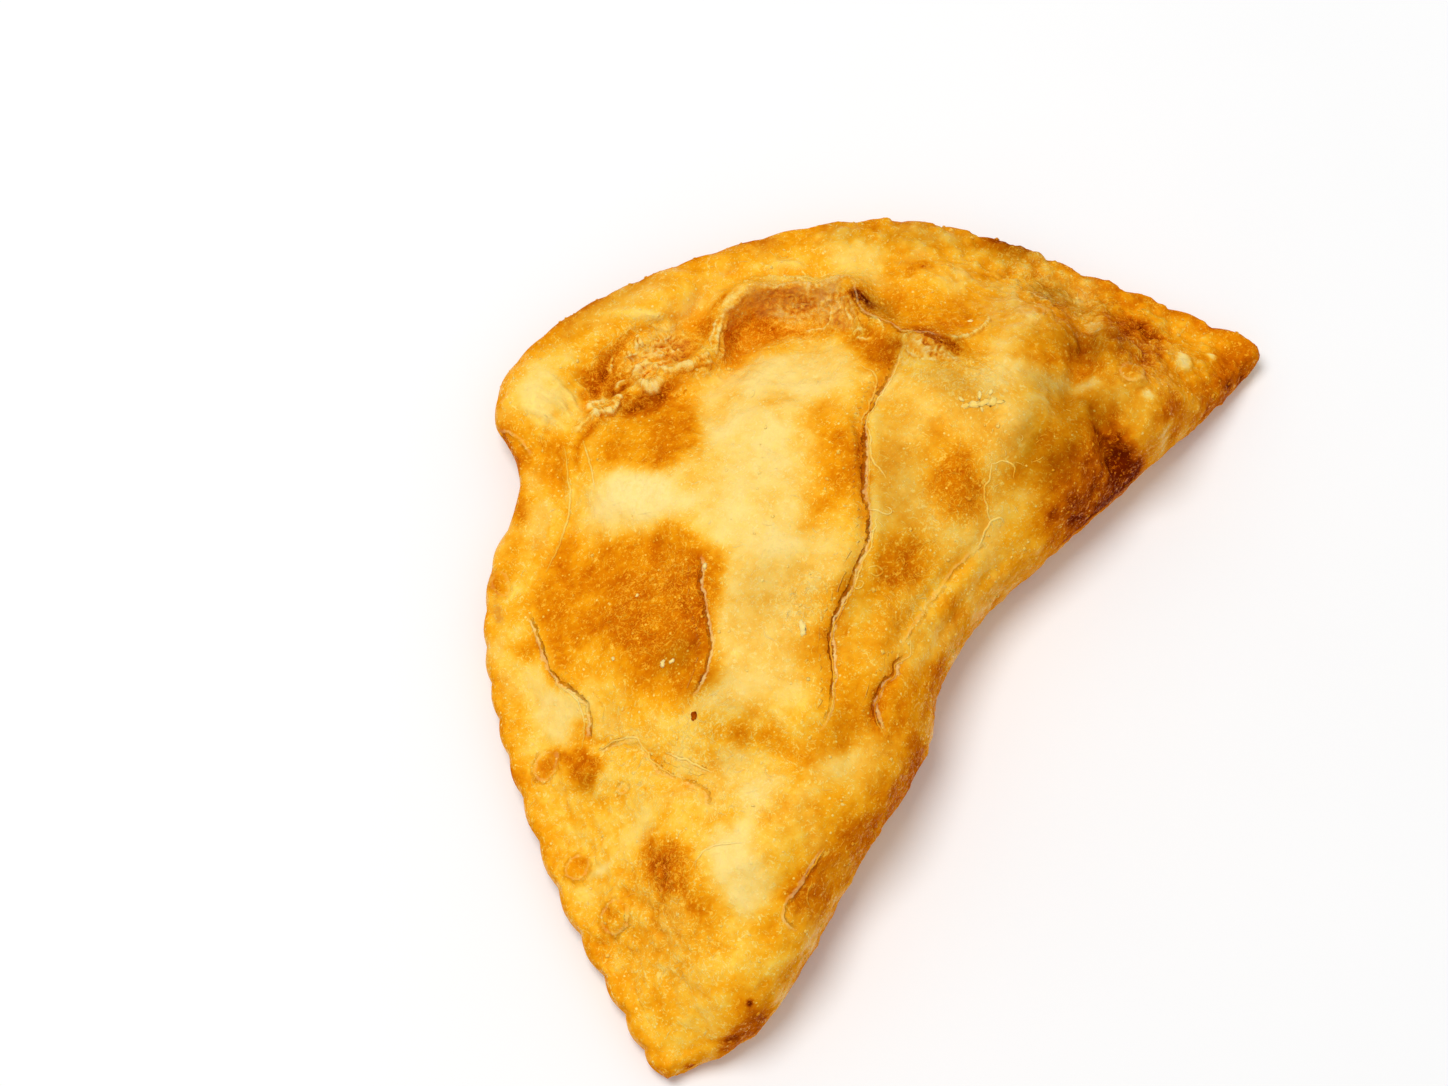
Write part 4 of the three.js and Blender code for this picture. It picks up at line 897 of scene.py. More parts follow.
RIDGES = [
    Ridge([(4.2, 31.5, 0), (3.7, 30, -0.3), (3.4, 27.6, -0.4), (4.8, 25.8, -0.5), (6.8, 24.2, -0.5),
           (8.8, 24, -0.4), (11.5, 22.4, -0.4), (15.5, 20.8, 0)], 0.5, 1, 0.76, 0, 0),
    Ridge([(9.4, 34.2, 0), (8, 32.8, -1), (6.6, 31.4, 0)], 0.9, 0.9, 0.78, 0, 0),
    Ridge([(12, 33, 0), (13.4, 32, -0.8), (15, 31.2, 0)], 0.8, 0.8, 0.64, 0, 0),
    Ridge([(10.4, 29.5, 0.6), (9.4, 29.8, 1), (8.3, 29.7, 1), (7.4, 29, 1), (6.8, 27.6, 0.9),
           (6.6, 26.2, 0.8), (7.2, 25.5, 0.8), (8.4, 25.4, 0.8),
           (9.5, 26.1, 0.6)], 0.6, 0.6, 0.16, 0.9, 0.15),
    Ridge([(9, 28.6, 0), (8.9, 27.8, -0.6), (8.6, 27.1, 0)], 0.6, 0.6, 0.74, 0, 0),
    Ridge([(10.4, 28, 0.4), (10.1, 26.4, 0.7), (10.3, 25, 0.8), (11, 24.1, 0.8), (12.5, 23.2, 0.8),
           (13.8, 22.7, 0.7)], 0.5, 0.35, 0.12, 0.9, 0.1),
    Ridge([(10.2, 33.1, 0), (9.8, 32.2, 0.8), (9.5, 31.2, 0)], 0.22, 0.22, 0.05, 1, 0),
    Ridge([(10.7, 31.6, 0), (10, 32.2, 0.7), (9.4, 32.5, 0)], 0.2, 0.2, 0.08, 1, 0),
    Ridge([(13, 33.6, 0), (11.9, 32.8, 0.8), (10.8, 31.9, 0)], 0.24, 0.24, 0.1, 0.9, 0),
    Ridge([(9.8, 34.7, 0), (7.8, 33.9, 0.5), (5.8, 32.8, 0)], 0.2, 0.2, 0.15, 0.9, 0),
    Ridge([(6.2, 28.9, 0), (6.6, 29.8, 0.5), (6, 30.5, 0.5), (5, 30.8, 0.4),
           (4.4, 30, 0)], 0.25, 0.25, 0.2, 0.8, 0),
    Ridge([(4.3, 28.5, 0.2), (3.2, 28.5, 0.9), (2.2, 28.2, 0.9), (1, 28, 0.8), (0.3, 28, 0.8),
           (-0.5, 28.7, 0.8), (-1.6, 29.3, 0.8), (-4, 29.8, 0.6),
           (-6.4, 30, 0)], 0.22, 0.7, 0.04, 1, 0.05),
    Ridge([(1.6, 30.2, 0), (0.6, 31.2, 0.5), (-0.6, 31.4, 0.4),
           (-1.4, 30.6, 0)], 0.4, 0.4, 0.1, 0.9, 0),
    Ridge([(12.6, 31.4, 0), (13.6, 30.2, 0.5), (15, 29.8, 0.5),
           (16, 28.6, 0)], 0.4, 0.4, 0.3, 0.7, 0.3),
    Ridge([(11.4, 29.4, 0), (12.4, 28, 0.5), (13.8, 27.6, 0.4),
           (15.4, 26.6, 0)], 0.35, 0.35, 0.24, 0.8, 0.2),
    Ridge([(13.5, 23.1, 0.3), (15.5, 22.3, 0.4), (17.1, 22.9, 0.4), (18.8, 24, 0.4),
           (20.8, 24.9, 0.3), (22.8, 25.2, 0)], 0.22, 0.2, 0.14, 1, 0.15),
    Ridge([(13.4, 22.4, 0.4), (15.6, 21.6, 0.6), (17.5, 22.3, 0.6), (19.3, 23.4, 0.5),
           (21.1, 24.3, 0.3), (22.8, 24.7, 0)], 0.24, 0.2, 0.08, 1, 0.1),
    Ridge([(14, 21.7, 0), (15.7, 20.9, 0.3), (17.8, 21.6, 0.4), (19.7, 22.7, 0.3),
           (21.5, 23.7, 0.2), (23, 24, 0)], 0.2, 0.22, 0.24, 0.9, 0.3),
    Ridge([(20.8, 24.2, 0), (22.8, 24.9, 0.3), (24.3, 24.6, 0.3), (25.7, 24.3, 0.3),
           (27.4, 24, 0.2)], 0.2, 0.24, 0.3, 0.8, 0.5),
    Ridge([(12.6, 21.6, 0), (15.6, 20.2, -0.2), (17.8, 20.8, -0.3), (19.7, 21.9, -0.4),
           (21.4, 22.8, -0.4), (23, 23.2, -0.3), (24.6, 22.9, -0.3),
           (26.4, 22.4, 0)], 0.5, 0.7, 0.68, 0, 0),
    Ridge([(27.2, 23.8, 0.2), (28.4, 23.2, 0.3), (29.6, 21.9, 0.3), (30.5, 20.6, 0.3),
           (31.7, 19.4, 0.3), (32.6, 18, 0.3), (33.1, 16.4, 0.3), (34, 15, 0.3), (35, 14.4, 0.3),
           (36, 13.7, 0.3), (37, 13.2, 0.3), (37, 12.2, 0.2),
           (36.4, 11.2, 0)], 0.2, 0.22, 0.24, 0.9, 0.45),
    Ridge([(28, 21.6, 0), (29.6, 20.2, 0.2), (30.6, 18.4, 0.2), (31.4, 16.6, 0.2),
           (33, 15, 0)], 0.16, 0.18, 0.34, 0.7, 0.7),
    Ridge([(29.4, 18.4, 0), (30.4, 17, 0.2), (31.4, 15.4, 0.2),
           (32.8, 14.6, 0)], 0.14, 0.16, 0.36, 0.7, 0.7),
    Ridge([(27.4, 22.6, 0), (28.4, 21.6, -0.2), (29.4, 20.4, -0.2), (30.6, 18.6, -0.2),
           (31.4, 16.6, -0.2), (32.6, 14.8, 0)], 0.4, 0.6, 0.66, 0, 0.4),
    Ridge([(34.6, 10.6, 0), (34.4, 9.5, -0.6), (33.4, 8, -0.8), (32.8, 6.8, -0.6),
           (32.5, 5.6, 0)], 0.35, 0.35, 0.9, 0, 0),
    Ridge([(29.9, 13.6, 0), (31.2, 14, 0.5), (32.5, 13.9, 0.6), (33.5, 13.3, 0.6),
           (34.2, 12.4, 0.6), (34.4, 11.2, 0.6), (34, 9.9, 0.5), (33, 8.6, 0.4),
           (32, 7.3, 0)], 0.18, 0.4, 0.3, 0.7, 0.45),
    Ridge([(28.7, 15, 0), (28.8, 13.9, 0.3), (29.6, 12.8, 0.3), (30.3, 11.8, 0.3),
           (31.4, 11.8, 0.3), (31.3, 13.3, 0)], 0.17, 0.17, 0.12, 0.9, 0.1),
    Ridge([(32.8, 12.8, 0), (32, 12, 0.3), (31.2, 11.6, 0)], 0.16, 0.16, 0.12, 0.9, 0.1),
    Ridge([(32.9, 11.4, 0), (33.3, 10.5, 0.3), (32.6, 9.6, 0.3),
           (32.2, 8.4, 0)], 0.17, 0.17, 0.15, 0.9, 0.1),
    Ridge([(30.3, 7.5, 0), (31.7, 7.1, 0.4), (31.5, 6, 0.4), (30.7, 6.4, 0.4), (31, 5.1, 0.3),
           (31.5, 4, 0)], 0.16, 0.16, 0.12, 0.9, 0),
    Ridge([(33.4, 6, 0), (33.5, 4.8, 0.4), (33, 3.6, 0.4),
           (32.2, 2.8, 0)], 0.16, 0.16, 0.14, 0.9, 0),
    Ridge([(32.4, 23.6, 0), (33.3, 21.8, 0.4), (34.6, 20.2, 0.4),
           (35.8, 19, 0)], 0.3, 0.3, 0.1, 0.6, 0),
    Ridge([(32.4, 21, 0), (33.6, 20, 0.3), (35.2, 19, 0)], 0.22, 0.22, 0.08, 0.8, 0),
    Ridge([(36.9, 18.4, 0), (37, 16.9, 0.3), (36.5, 15, 0)], 0.25, 0.25, 0.16, 0.6, 0.1),
    Ridge([(36, 21.6, 0), (37, 20.2, 0.6), (37.6, 18.8, 0)], 1, 1, 0.3, 0.5, 0.2),
    Ridge([(36, -4.5, 0), (37, -6.4, 0.4), (38.4, -7.2, 0.5), (40, -7.8, 0.5), (41.2, -8, 0.5),
           (43, -7.9, 0.4), (44.6, -7.2, 0.4), (45.8, -8.2, 0.3),
           (47, -7.8, 0)], 0.35, 0.2, 0.08, 0.8, 0),
    Ridge([(32.4, 2, 0), (34, 0.4, -0.2), (34.6, -1.6, -0.5), (35.2, -3.2, -0.5), (35.6, -5, -0.5),
           (35.8, -6.5, -0.4), (35.6, -8.6, 0)], 0.35, 0.35, 0.84, 0, 0),
    Ridge([(32, -0.8, 0), (31.6, -2.2, 0.3), (31.6, -3.6, 0.3), (32, -5, 0.3),
           (32.6, -7, 0)], 0.25, 0.25, 0.15, 0.9, 0.1),
    Ridge([(33.4, -2, 0), (33, -3.6, 0.4), (33.4, -5.4, 0.4), (34, -7.6, 0.3),
           (33.8, -10, 0)], 0.6, 0.7, 0.32, 0.8, 0.25),
]


def marked(x, y, lines, reach=1.6):
    """Signed distance to the nearest of some thin lines, and how strongly it shows: 0 beyond
    the reach, and less towards a line's ends."""
    away = np.full(x.shape, reach)
    strength = np.zeros(x.shape)
    for line in lines:
        near, signed, _, share = beside_path(x, y, spline(line.path, 5), reach)
        ends = smooth(share * 8) * smooth((1 - share) * 8)
        closer = np.abs(signed) < np.abs(away[near])
        away[near] = np.where(closer, signed, away[near])
        shown = line.strength * ends * smooth(2 * (1 - np.abs(signed) / reach))
        strength[near] = np.where(closer, shown, strength[near])
    return away, strength


MARKS = ("browned", "milky", "rosy", "fibrous", "shaded", "crack_away", "crack")


def crust_marks(crust):
    """Named values for each point of the crust, which the fried dough's material mixes."""
    x, y, _ = np.moveaxis(crust.plain, -1, 0)
    p = crust.points
    wx, wy = x + 0.8 * fractal(p / 5, 51, 4), y + 0.8 * fractal(p / 5, 61, 4)
    top = crust.over > 0
    browned = PLAIN_BROWNED + 0.1 * smooth((x - 10) / 35) + 0.1 * smooth((x - 48) / 16)
    browned += 0.065 * fractal(p / 9, 71, 5, 0.6)
    rosy, fibrous = np.zeros((2, *x.shape))
    milky = 0.4 * smooth(0.1 + 1.6 * fractal(p / 6, 77, 3)) * smooth((x + 50) / 12)
    for patch in PATCHES:
        cover = covered(wx, wy, patch.outline, patch.edge * FADING)
        target = patch.amount + 0.07 * smooth(patch.amount * 2.5)
        browned += (target - browned) * cover
        milky += (patch.milky - milky) * cover
    for patch in ROSY:
        rosy += (patch.amount - rosy) * covered(wx, wy, patch.outline, patch.edge)
    for patch in FIBROUS:
        fibrous = np.maximum(fibrous, patch.amount * covered(wx, wy, patch.outline, patch.edge))
    # Browner in the hollows of the small relief and paler on its crests: partly painted shade and
    # light
    browned += 0.05 * fractal(p / 3.5, 75, 4, 0.6) - 0.3 * crust.small
    far_top = smooth((x + 6) / 8) * smooth((46 - x) / 14)
    for away, reach, amount, even, uneven, size, seed in (
            (crust.from_rim, 2.4 + 1.8 * far_top, 0.27 + 0.05 * far_top, 0.8, 0.4, 5, 81),
            (crust.from_rim, 1.1, 0.12 * far_top, 0.8, 0.4, 2, 87),
            (crust.from_fold, 5, 0.12, 0.9, 0.6, 6, 83),
            (crust.from_fold, 1.6, 0.14, 0.8, 0.6, 3, 85)):
        browned += amount * falloff(away, reach) * (even + uneven * noise(p / size, seed))
    underneath = 0.5 + 0.2 * fractal(p / 12, 91, 4)
    fine_x, fine_y = x + 0.25 * noise(p / 1.6, 101), y + 0.25 * noise(p / 1.6, 102)
    crack_away, crack = marked(fine_x, fine_y, CRACKS)
    return {
        "browned": np.clip(np.where(top, browned, underneath), 0, 1),
        "milky": np.where(top, milky, 0),
        "rosy": np.where(top, rosy, 0),
        "fibrous": np.where(top, fibrous, 0.1),
        # painted shade from the SHADED spots
        "shaded": np.where(top, np.clip(swelling(wx, wy, SHADED), 0, 1), 0),
        "crack_away": crack_away,
        "crack": np.where(top, crack, 0),
    }


@lru_cache(maxsize=1)
def built_crust(*sizes):
    return Crust(Sizes(*sizes))


def crust_for(settings):
    """The crust for the panel's sizes, made once for all the pieces that lie on it."""
    return built_crust(*(getattr(settings, key) / MM for key in Sizes._fields))


def strips_mesh(name, strips):
    """One mesh of closed strips. Each strip has (count, sections, ring, 3) points, (count, 2, 3)
    points that close its ends, and marks for the points of its rings."""
    points, faces, marks = [], [], {}
    first = 0
    for rings, tips, values in strips:
        count, sections, ring = rings.shape[:3]
        middle = rings.reshape(count, -1, 3).mean(1)[:, None, None]
        ahead = np.roll(rings, -1, axis=2) - rings
        volume = np.einsum("...k,...k", np.cross(rings - middle, ahead)[:, :-1],
                           (rings[:, 1:] - rings[:, :-1])).sum()
        start = first + np.arange(count)[:, None, None] * (sections * ring + 2)
        index = start + 1 + np.arange(sections * ring).reshape(1, sections, ring)
        index = index if volume > 0 else index[..., ::-1]
        beside = np.roll(index, -1, axis=2)
        quads = np.stack([index[:, :-1], beside[:, :-1], beside[:, 1:], index[:, 1:]], -1)
        faces += quads.reshape(-1, 4).tolist()
        for tip, one, other in ((start[..., 0], beside[:, 0], index[:, 0]),
                                (start[..., 0] + sections * ring + 1, index[:, -1], beside[:, -1])):
            fan = np.stack(np.broadcast_arrays(tip, one, other), -1)
            faces += fan.reshape(-1, 3).tolist()
        flat = rings.reshape(count, -1, 3)
        points.append(np.concatenate([tips[:, :1], flat, tips[:, 1:]], 1).reshape(-1, 3))
        for key in MARKS:
            value = values.get(key, np.zeros(rings.shape[:3]))
            ends = value[:, (0, -1)].mean(-1)
            whole = np.concatenate([ends[:, :1], value.reshape(count, -1), ends[:, 1:]], 1)
            marks.setdefault(key, []).append(whole.ravel())
        first += count * (sections * ring + 2)
    mesh = bpy.data.meshes.new(name)
    mesh.from_pydata(np.concatenate(points) * MM, [], faces)
    mesh.polygons.foreach_set("use_smooth", np.ones(len(faces), bool))
    for key, value in marks.items():
        attribute = mesh.attributes.new(key, "FLOAT", "POINT")
        attribute.data.foreach_set("value", np.concatenate(value).astype(np.float32))
    mesh.update()
    return mesh


class Plot(NamedTuple):
    """A rectangle of finer skin: its middle, half its length and width, and its direction."""

    x: float
    y: float
    along: float
    across: float
    turn: float


PLOTS = [Plot(6, 28.5, 12, 6.6, -12), Plot(28.5, 17, 13, 6.6, -47), Plot(36, -1, 10.5, 6, -66)]
PLOT_STEP = 0.13  # between points
PLOT_LIFT = 0.09  # how far a plate's top stands off the crust
PLOT_TUCK = 0.5  # how far its edges are sunk in
PLOT_UNDER = 0.9  # how deep its underside lies
UNDER_SKIP = 6  # of as many rows, the underside has one


def plot_strip(crust, plot):
    """A thin plate that lies on the crust, with the fine ridges of torn skin. Its edges are tucked
    into the crust, and so is its underside. A ridge rises as exp(-(distance / width)^2.6)."""
    ways = [np.linspace(-1, 1, int(2 * size / PLOT_STEP)) for size in (plot.along, plot.across)]
    s, r = np.meshgrid(*ways, indexing="ij")
    narrowing = 1 - 0.97 * s ** 16
    plan = turned(plot.x, plot.y, s * plot.along, r * plot.across * narrowing, plot.turn)
    points, normals, marks = crust.over_places(plan)
    wx, wy = (plan[..., k] + 0.16 * noise(points / 0.9, seed) + 0.1 * noise(points / 0.4, seed + 1)
              for k, seed in ((0, 401), (1, 403)))
    lift = np.zeros(s.shape)
    for number, ridge in enumerate(RIDGES):
        curve = spline(ridge.path, 5)
        near, signed, height, share = beside_path(wx, wy, curve, 3.4 * max(ridge.left, ridge.right))
        along = share * np.linalg.norm(np.diff(curve[:, :2], axis=0), axis=1).sum()
        frill, pleat = (noise(np.stack([along / long, signed / wide, 0 * along + number], -1), seed)
                        for long, wide, seed in ((1.7, 5, 407), (0.42, 1.6, 409)))
        width = np.where(signed > 0, ridge.left, ridge.right) * (1.15 + 0.6 * frill + 0.3 * pleat)
        off = np.abs(signed) / np.maximum(width, 0.1)
        lift[near] += height * (1 + 0.45 * frill + 0.35 * pleat) * np.exp(-off ** 2.6)
        ends = smooth(share * 6) * smooth((1 - share) * 6)
        flank = 0.75 * ends * np.exp(-((off / 1.7) ** 4))
        crest = ends * falloff(off, 0.8) * smooth(0.8 + 1.2 * frill)
        # Ridge colour: paler crests and browner flanks and clefts, streaked with the pleats; partly
        # the torn skin's own colour, partly painted highlight on crests and painted shade beside them
        for key, beside, streak in (("browned", max(ridge.browned, 0.5), -0.34), ("milky", 0.1, 0),
                                    ("rosy", 0.1, 0)):
            value, own = marks[key][near], getattr(ridge, key)
            value += (np.where(height > 0, beside, own) + streak * pleat - value) * flank
            marks[key][near] = value + (own + streak * pleat - value) * crest
    bent = points + 0.7 * np.stack([noise(points / 1.8, 411), noise(points / 1.8, 412), 0 * s], -1)
    wrinkles = 1 - 2.4 * np.abs(noise(bent / 1.15, 413))
    crumple = np.clip(swelling(plan[..., 0], plan[..., 1], CRUMPLED), 0, 1)
    lift += crumple * (0.34 * wrinkles + 0.14 * fractal(points / 0.7, 421, 2))
    # Browner in the wrinkles' hollows and milkier on their crests: partly painted shade and light
    marks["browned"] += crumple * (0.16 - 0.42 * wrinkles)
    marks["milky"] += crumple * 0.7 * np.clip(wrinkles, 0, 1)
    inside = smooth(6 * (1 - np.abs(s))) * smooth(3.4 * (1 - np.abs(r)))
    up = unit(normals + np.array((0, 0, 0.5)))
    top = points + up * ((lift + PLOT_LIFT) * inside - PLOT_TUCK * (1 - inside) ** 8)[..., None]
    back = slice(1, -1, UNDER_SKIP)
    under = points[:, back] - up[:, back] * PLOT_UNDER
    rings = np.concatenate([top, under[:, ::-1]], axis=1)[None]
    values = {}
    for key, value in marks.items():
        held = np.clip(value, 0, 1) if key != "crack_away" else value
        values[key] = np.concatenate([held, held[:, back][:, ::-1]], axis=1)[None]
    return rings, rings[0, (0, -1)].mean(1)[None], values


TUBE_RAISED = 0.3  # how far a tube's middle stands above the skin, as a share of its radius
TUBE_END = 0.15  # its size at the ends


def tube_strips(crust, paths, radius, tall, ring, brown_shift, milky):
    """Tapering tubes that lie along paths (count, sections, 2) over the crust, a little sunk in.
    They are as browned as the skin beneath them, shifted."""
    points, normals, marks = crust.over_places(paths)
    side = unit(np.cross(np.gradient(points, axis=1), normals))
    angle = 2 * np.pi * np.arange(ring) / ring
    share = np.linspace(0, 1, paths.shape[1])
    taper = np.sqrt(np.clip(1 - (2 * share - 1) ** 2, 0, 1)) * (1 - TUBE_END) + TUBE_END
    size = (radius[:, None] * taper)[..., None]
    out = side[:, :, None] * (np.cos(angle) * size)[..., None]
    up = normals[:, :, None] * ((np.sin(angle) + TUBE_RAISED) * size * tall)[..., None]
    rings = points[:, :, None] + out + up
    tips = points[:, (0, -1)] + (points[:, (0, -1)] - points[:, (1, -2)]) * 0.5
    values = {"browned": np.clip(marks["browned"] + brown_shift, 0.05, 1),
              "milky": np.clip(marks["milky"] + milky, 0, 1), "rosy": marks["rosy"]}
    return rings, tips, {key: value[..., None] * np.ones(ring) for key, value in values.items()}


# Raised threads of skin beside the cracks and along thin folds
THREADS = [
    [(18, -5), (16.6, -6.8), (14.4, -8.6), (13.6, -10.4), (13, -12.2)],
    [(26.5, 2.9), (26.4, 0.7), (25, -1.2), (22.6, -2), (19.7, -2.8), (17.3, -4)],
    [(32, -0.8), (29.6, -1.5), (27.8, -2.2), (26.2, -2.9), (22.9, -3.2), (19.9, -4), (17.6, -5)],
    [(17.6, -5), (16.3, -6.6), (14, -8.4), (12, -9.8), (9.2, -11.9)],
    [(7.4, -13.2), (7.8, -14.8), (8.4, -16), (9.3, -15.8), (9.2, -14.9)],
    [(7.1, -15), (4.6, -16.4), (2.6, -17.3), (0.4, -17.8), (-1.5, -18.3), (-3.1, -19),
     (-2.6, -19.9), (-1.7, -19.6), (-2, -18.8)],
    [(0.2, -18.9), (1.4, -19.7), (1.2, -20.6), (0.1, -20.4), (-0.3, -19.5)],
    [(-3.4, -18.9), (-7.8, -19.9), (-10.8, -21), (-13.3, -23), (-16.6, -26), (-20.5, -28.1)],
    [(-3.4, -29.4), (-5.1, -30.6), (-7.6, -30.2), (-9.1, -31.1), (-11, -30.9), (-12.8, -31.3),
     (-14.7, -32), (-16, -33.4), (-16.8, -35.2)],
    [(-24, 20.6), (-19, 21.8), (-14, 23.9), (-10.6, 27), (-8, 30)],
    [(-10.5, 22.3), (-8, 25), (-5.5, 28.5)],
    [(-36.6, 8), (-36.6, 4), (-38, 1.8), (-40.4, -0.2), (-42, -1)],
    [(-40.9, -3.1), (-38.9, -4.2), (-36.9, -6.8), (-37.8, -8.3), (-38.9, -12), (-38.6, -15.2)],
    [(-36.8, -11.6), (-36.1, -15.1), (-35.8, -19)], [(-46.5, -25.6), (-43.7, -26.3), (-41, -29.6)],
    [(19.2, -28.9), (18.9, -27.6), (17.6, -27.3), (16, -27.8), (14, -28)],
    [(-38.6, -39.5), (-40.6, -40.2), (-41.2, -41.4)],
    [(-34.2, -38.1), (-36.2, -38.3), (-39.2, -38.6)],
    [(24, -22.4), (22, -23.6), (20.4, -24), (18.6, -26), (17.4, -28)],
    [(24, -22.4), (25.6, -23.6), (25.8, -25), (24.6, -26)],
]


THREAD_RADIUS = (0.14, 0.2)  # the least and the most


def thread_strips(crust):
    """Each thread wavers a little about its path."""
    rng = np.random.default_rng(5)
    for path in THREADS:
        curve = spline(path, 8)
        length = np.linalg.norm(np.diff(curve, axis=0), axis=1).sum()
        run = at_share(curve, np.linspace(0, 1, max(10, int(length / 0.25))))
        place = np.c_[run, np.zeros(len(run))]
        wander = np.stack([noise(place / 1.2, 201), noise(place / 1.2, 202)], -1)
        radius = np.array([rng.uniform(*THREAD_RADIUS)])
        yield tube_strips(crust, (run + 0.22 * wander)[None], radius, 0.7, 6, -0.12, 0.4)


FLECK_LENGTH = (5, 0.22)  # the gamma distribution's shape and scale
FLECK_RADIUS = (0.04, 0.075)
FLECK_BEND = 0.9  # how strongly slivers curve, in radians per millimetre
FLECK_SECTIONS = 6


def fleck_strips(crust, count):
    """Short curved slivers, denser near the lip and the cracks."""
    rng = np.random.default_rng(17)
    rows = slice(4, crust.TOP_ROWS - 2)
    top = crust.points[:, rows]
    across, along = (np.linalg.norm(np.gradient(top, axis=k), axis=-1) for k in (1, 0))
    plan = crust.plain[:, rows, :2].reshape(-1, 2)
    patchy = smooth(0.5 + 1.2 * noise(top / 5, 301))
    chance = across * along * (0.01 + 0.08 * patchy + 2 * crust.marks["fibrous"][:, rows] ** 2)
    middle = plan[rng.choice(chance.size, count, p=(chance / chance.sum()).ravel())]
    heading = rng.uniform(0, 2 * np.pi, count)[:, None]
    bend = rng.normal(0, FLECK_BEND, count)[:, None]
    length = rng.gamma(*FLECK_LENGTH, count)[:, None]
    turn = heading + bend * np.linspace(-0.5, 0.5, FLECK_SECTIONS) * length
    steps = np.stack([np.cos(turn), np.sin(turn)], -1)
    steps *= (length / (FLECK_SECTIONS - 1))[..., None]
    paths = middle[:, None] + np.cumsum(steps, axis=1) - steps.sum(1, keepdims=True) / 2
    # Slivers paler than the skin beneath: partly dry skin, partly painted glint
    return tube_strips(crust, paths, rng.uniform(*FLECK_RADIUS, count), 0.6, 4, -0.2, 0.3)


class Crumb(NamedTuple):
    """A crumb at x, y: its half-sizes, its turn in degrees, and how browned and milky it is."""

    x: float
    y: float
    along: float
    across: float
    tall: float
    turn: float
    browned: float
    milky: float


CRUMBS = [
    Crumb(-12.3, -16.9, 0.9, 0.55, 0.4, 40, 0, 1), Crumb(-12.9, -17.6, 0.5, 0.4, 0.3, 0, 0, 1),
    Crumb(28.6, -14.4, 0.8, 0.5, 0.1, -30, 0.2, 0.8),
    Crumb(29.5, -15.3, 0.9, 0.6, 0.14, -50, 0.12, 0.9),
    Crumb(30.4, -16.1, 0.9, 0.5, 0.12, -40, 0.16, 0.9),
    Crumb(31.2, -17, 0.7, 0.6, 0.1, 0, 0.18, 0.8),
    Crumb(31.9, -17.9, 0.6, 0.3, 0.1, -50, 0.18, 0.8),
    Crumb(30.9, -15, 0.6, 0.3, 0.14, 30, 0.05, 1), Crumb(32.2, -16, 0.5, 0.3, 0.12, 10, 0.1, 0.9),
    Crumb(28.9, -13.3, 0.5, 0.25, 0.1, 80, 0.1, 0.9),
    Crumb(29.6, -16.4, 0.45, 0.25, 0.1, 60, 0.1, 0.9),
    Crumb(-30.7, -12.6, 0.65, 0.5, 0.4, 20, 0.93, 0), Crumb(-12.3, 0.1, 0.42, 0.36, 0.3, 0, 0, 1),
    Crumb(-20.5, 5.7, 0.3, 0.22, 0.2, 0, 0, 1), Crumb(-29.6, 2.8, 0.32, 0.26, 0.2, 0, 0, 1),
    Crumb(-26.8, -3.6, 0.6, 0.35, 0.25, 30, 0, 1), Crumb(-25.9, -4.6, 0.5, 0.3, 0.2, -20, 0, 1),
    Crumb(12.2, 32.2, 0.7, 0.4, 0.4, 60, 0.2, 1), Crumb(42, -5.4, 0.3, 0.5, 0.2, 20, 0, 1),
]


GRAIN_SIZE = (6, 0.028)  # the gamma distribution's shape and scale
CRUMB_SECTIONS, CRUMB_RING = 6, 8
LUMPINESS = 0.26  # how uneven the points of a crumb are


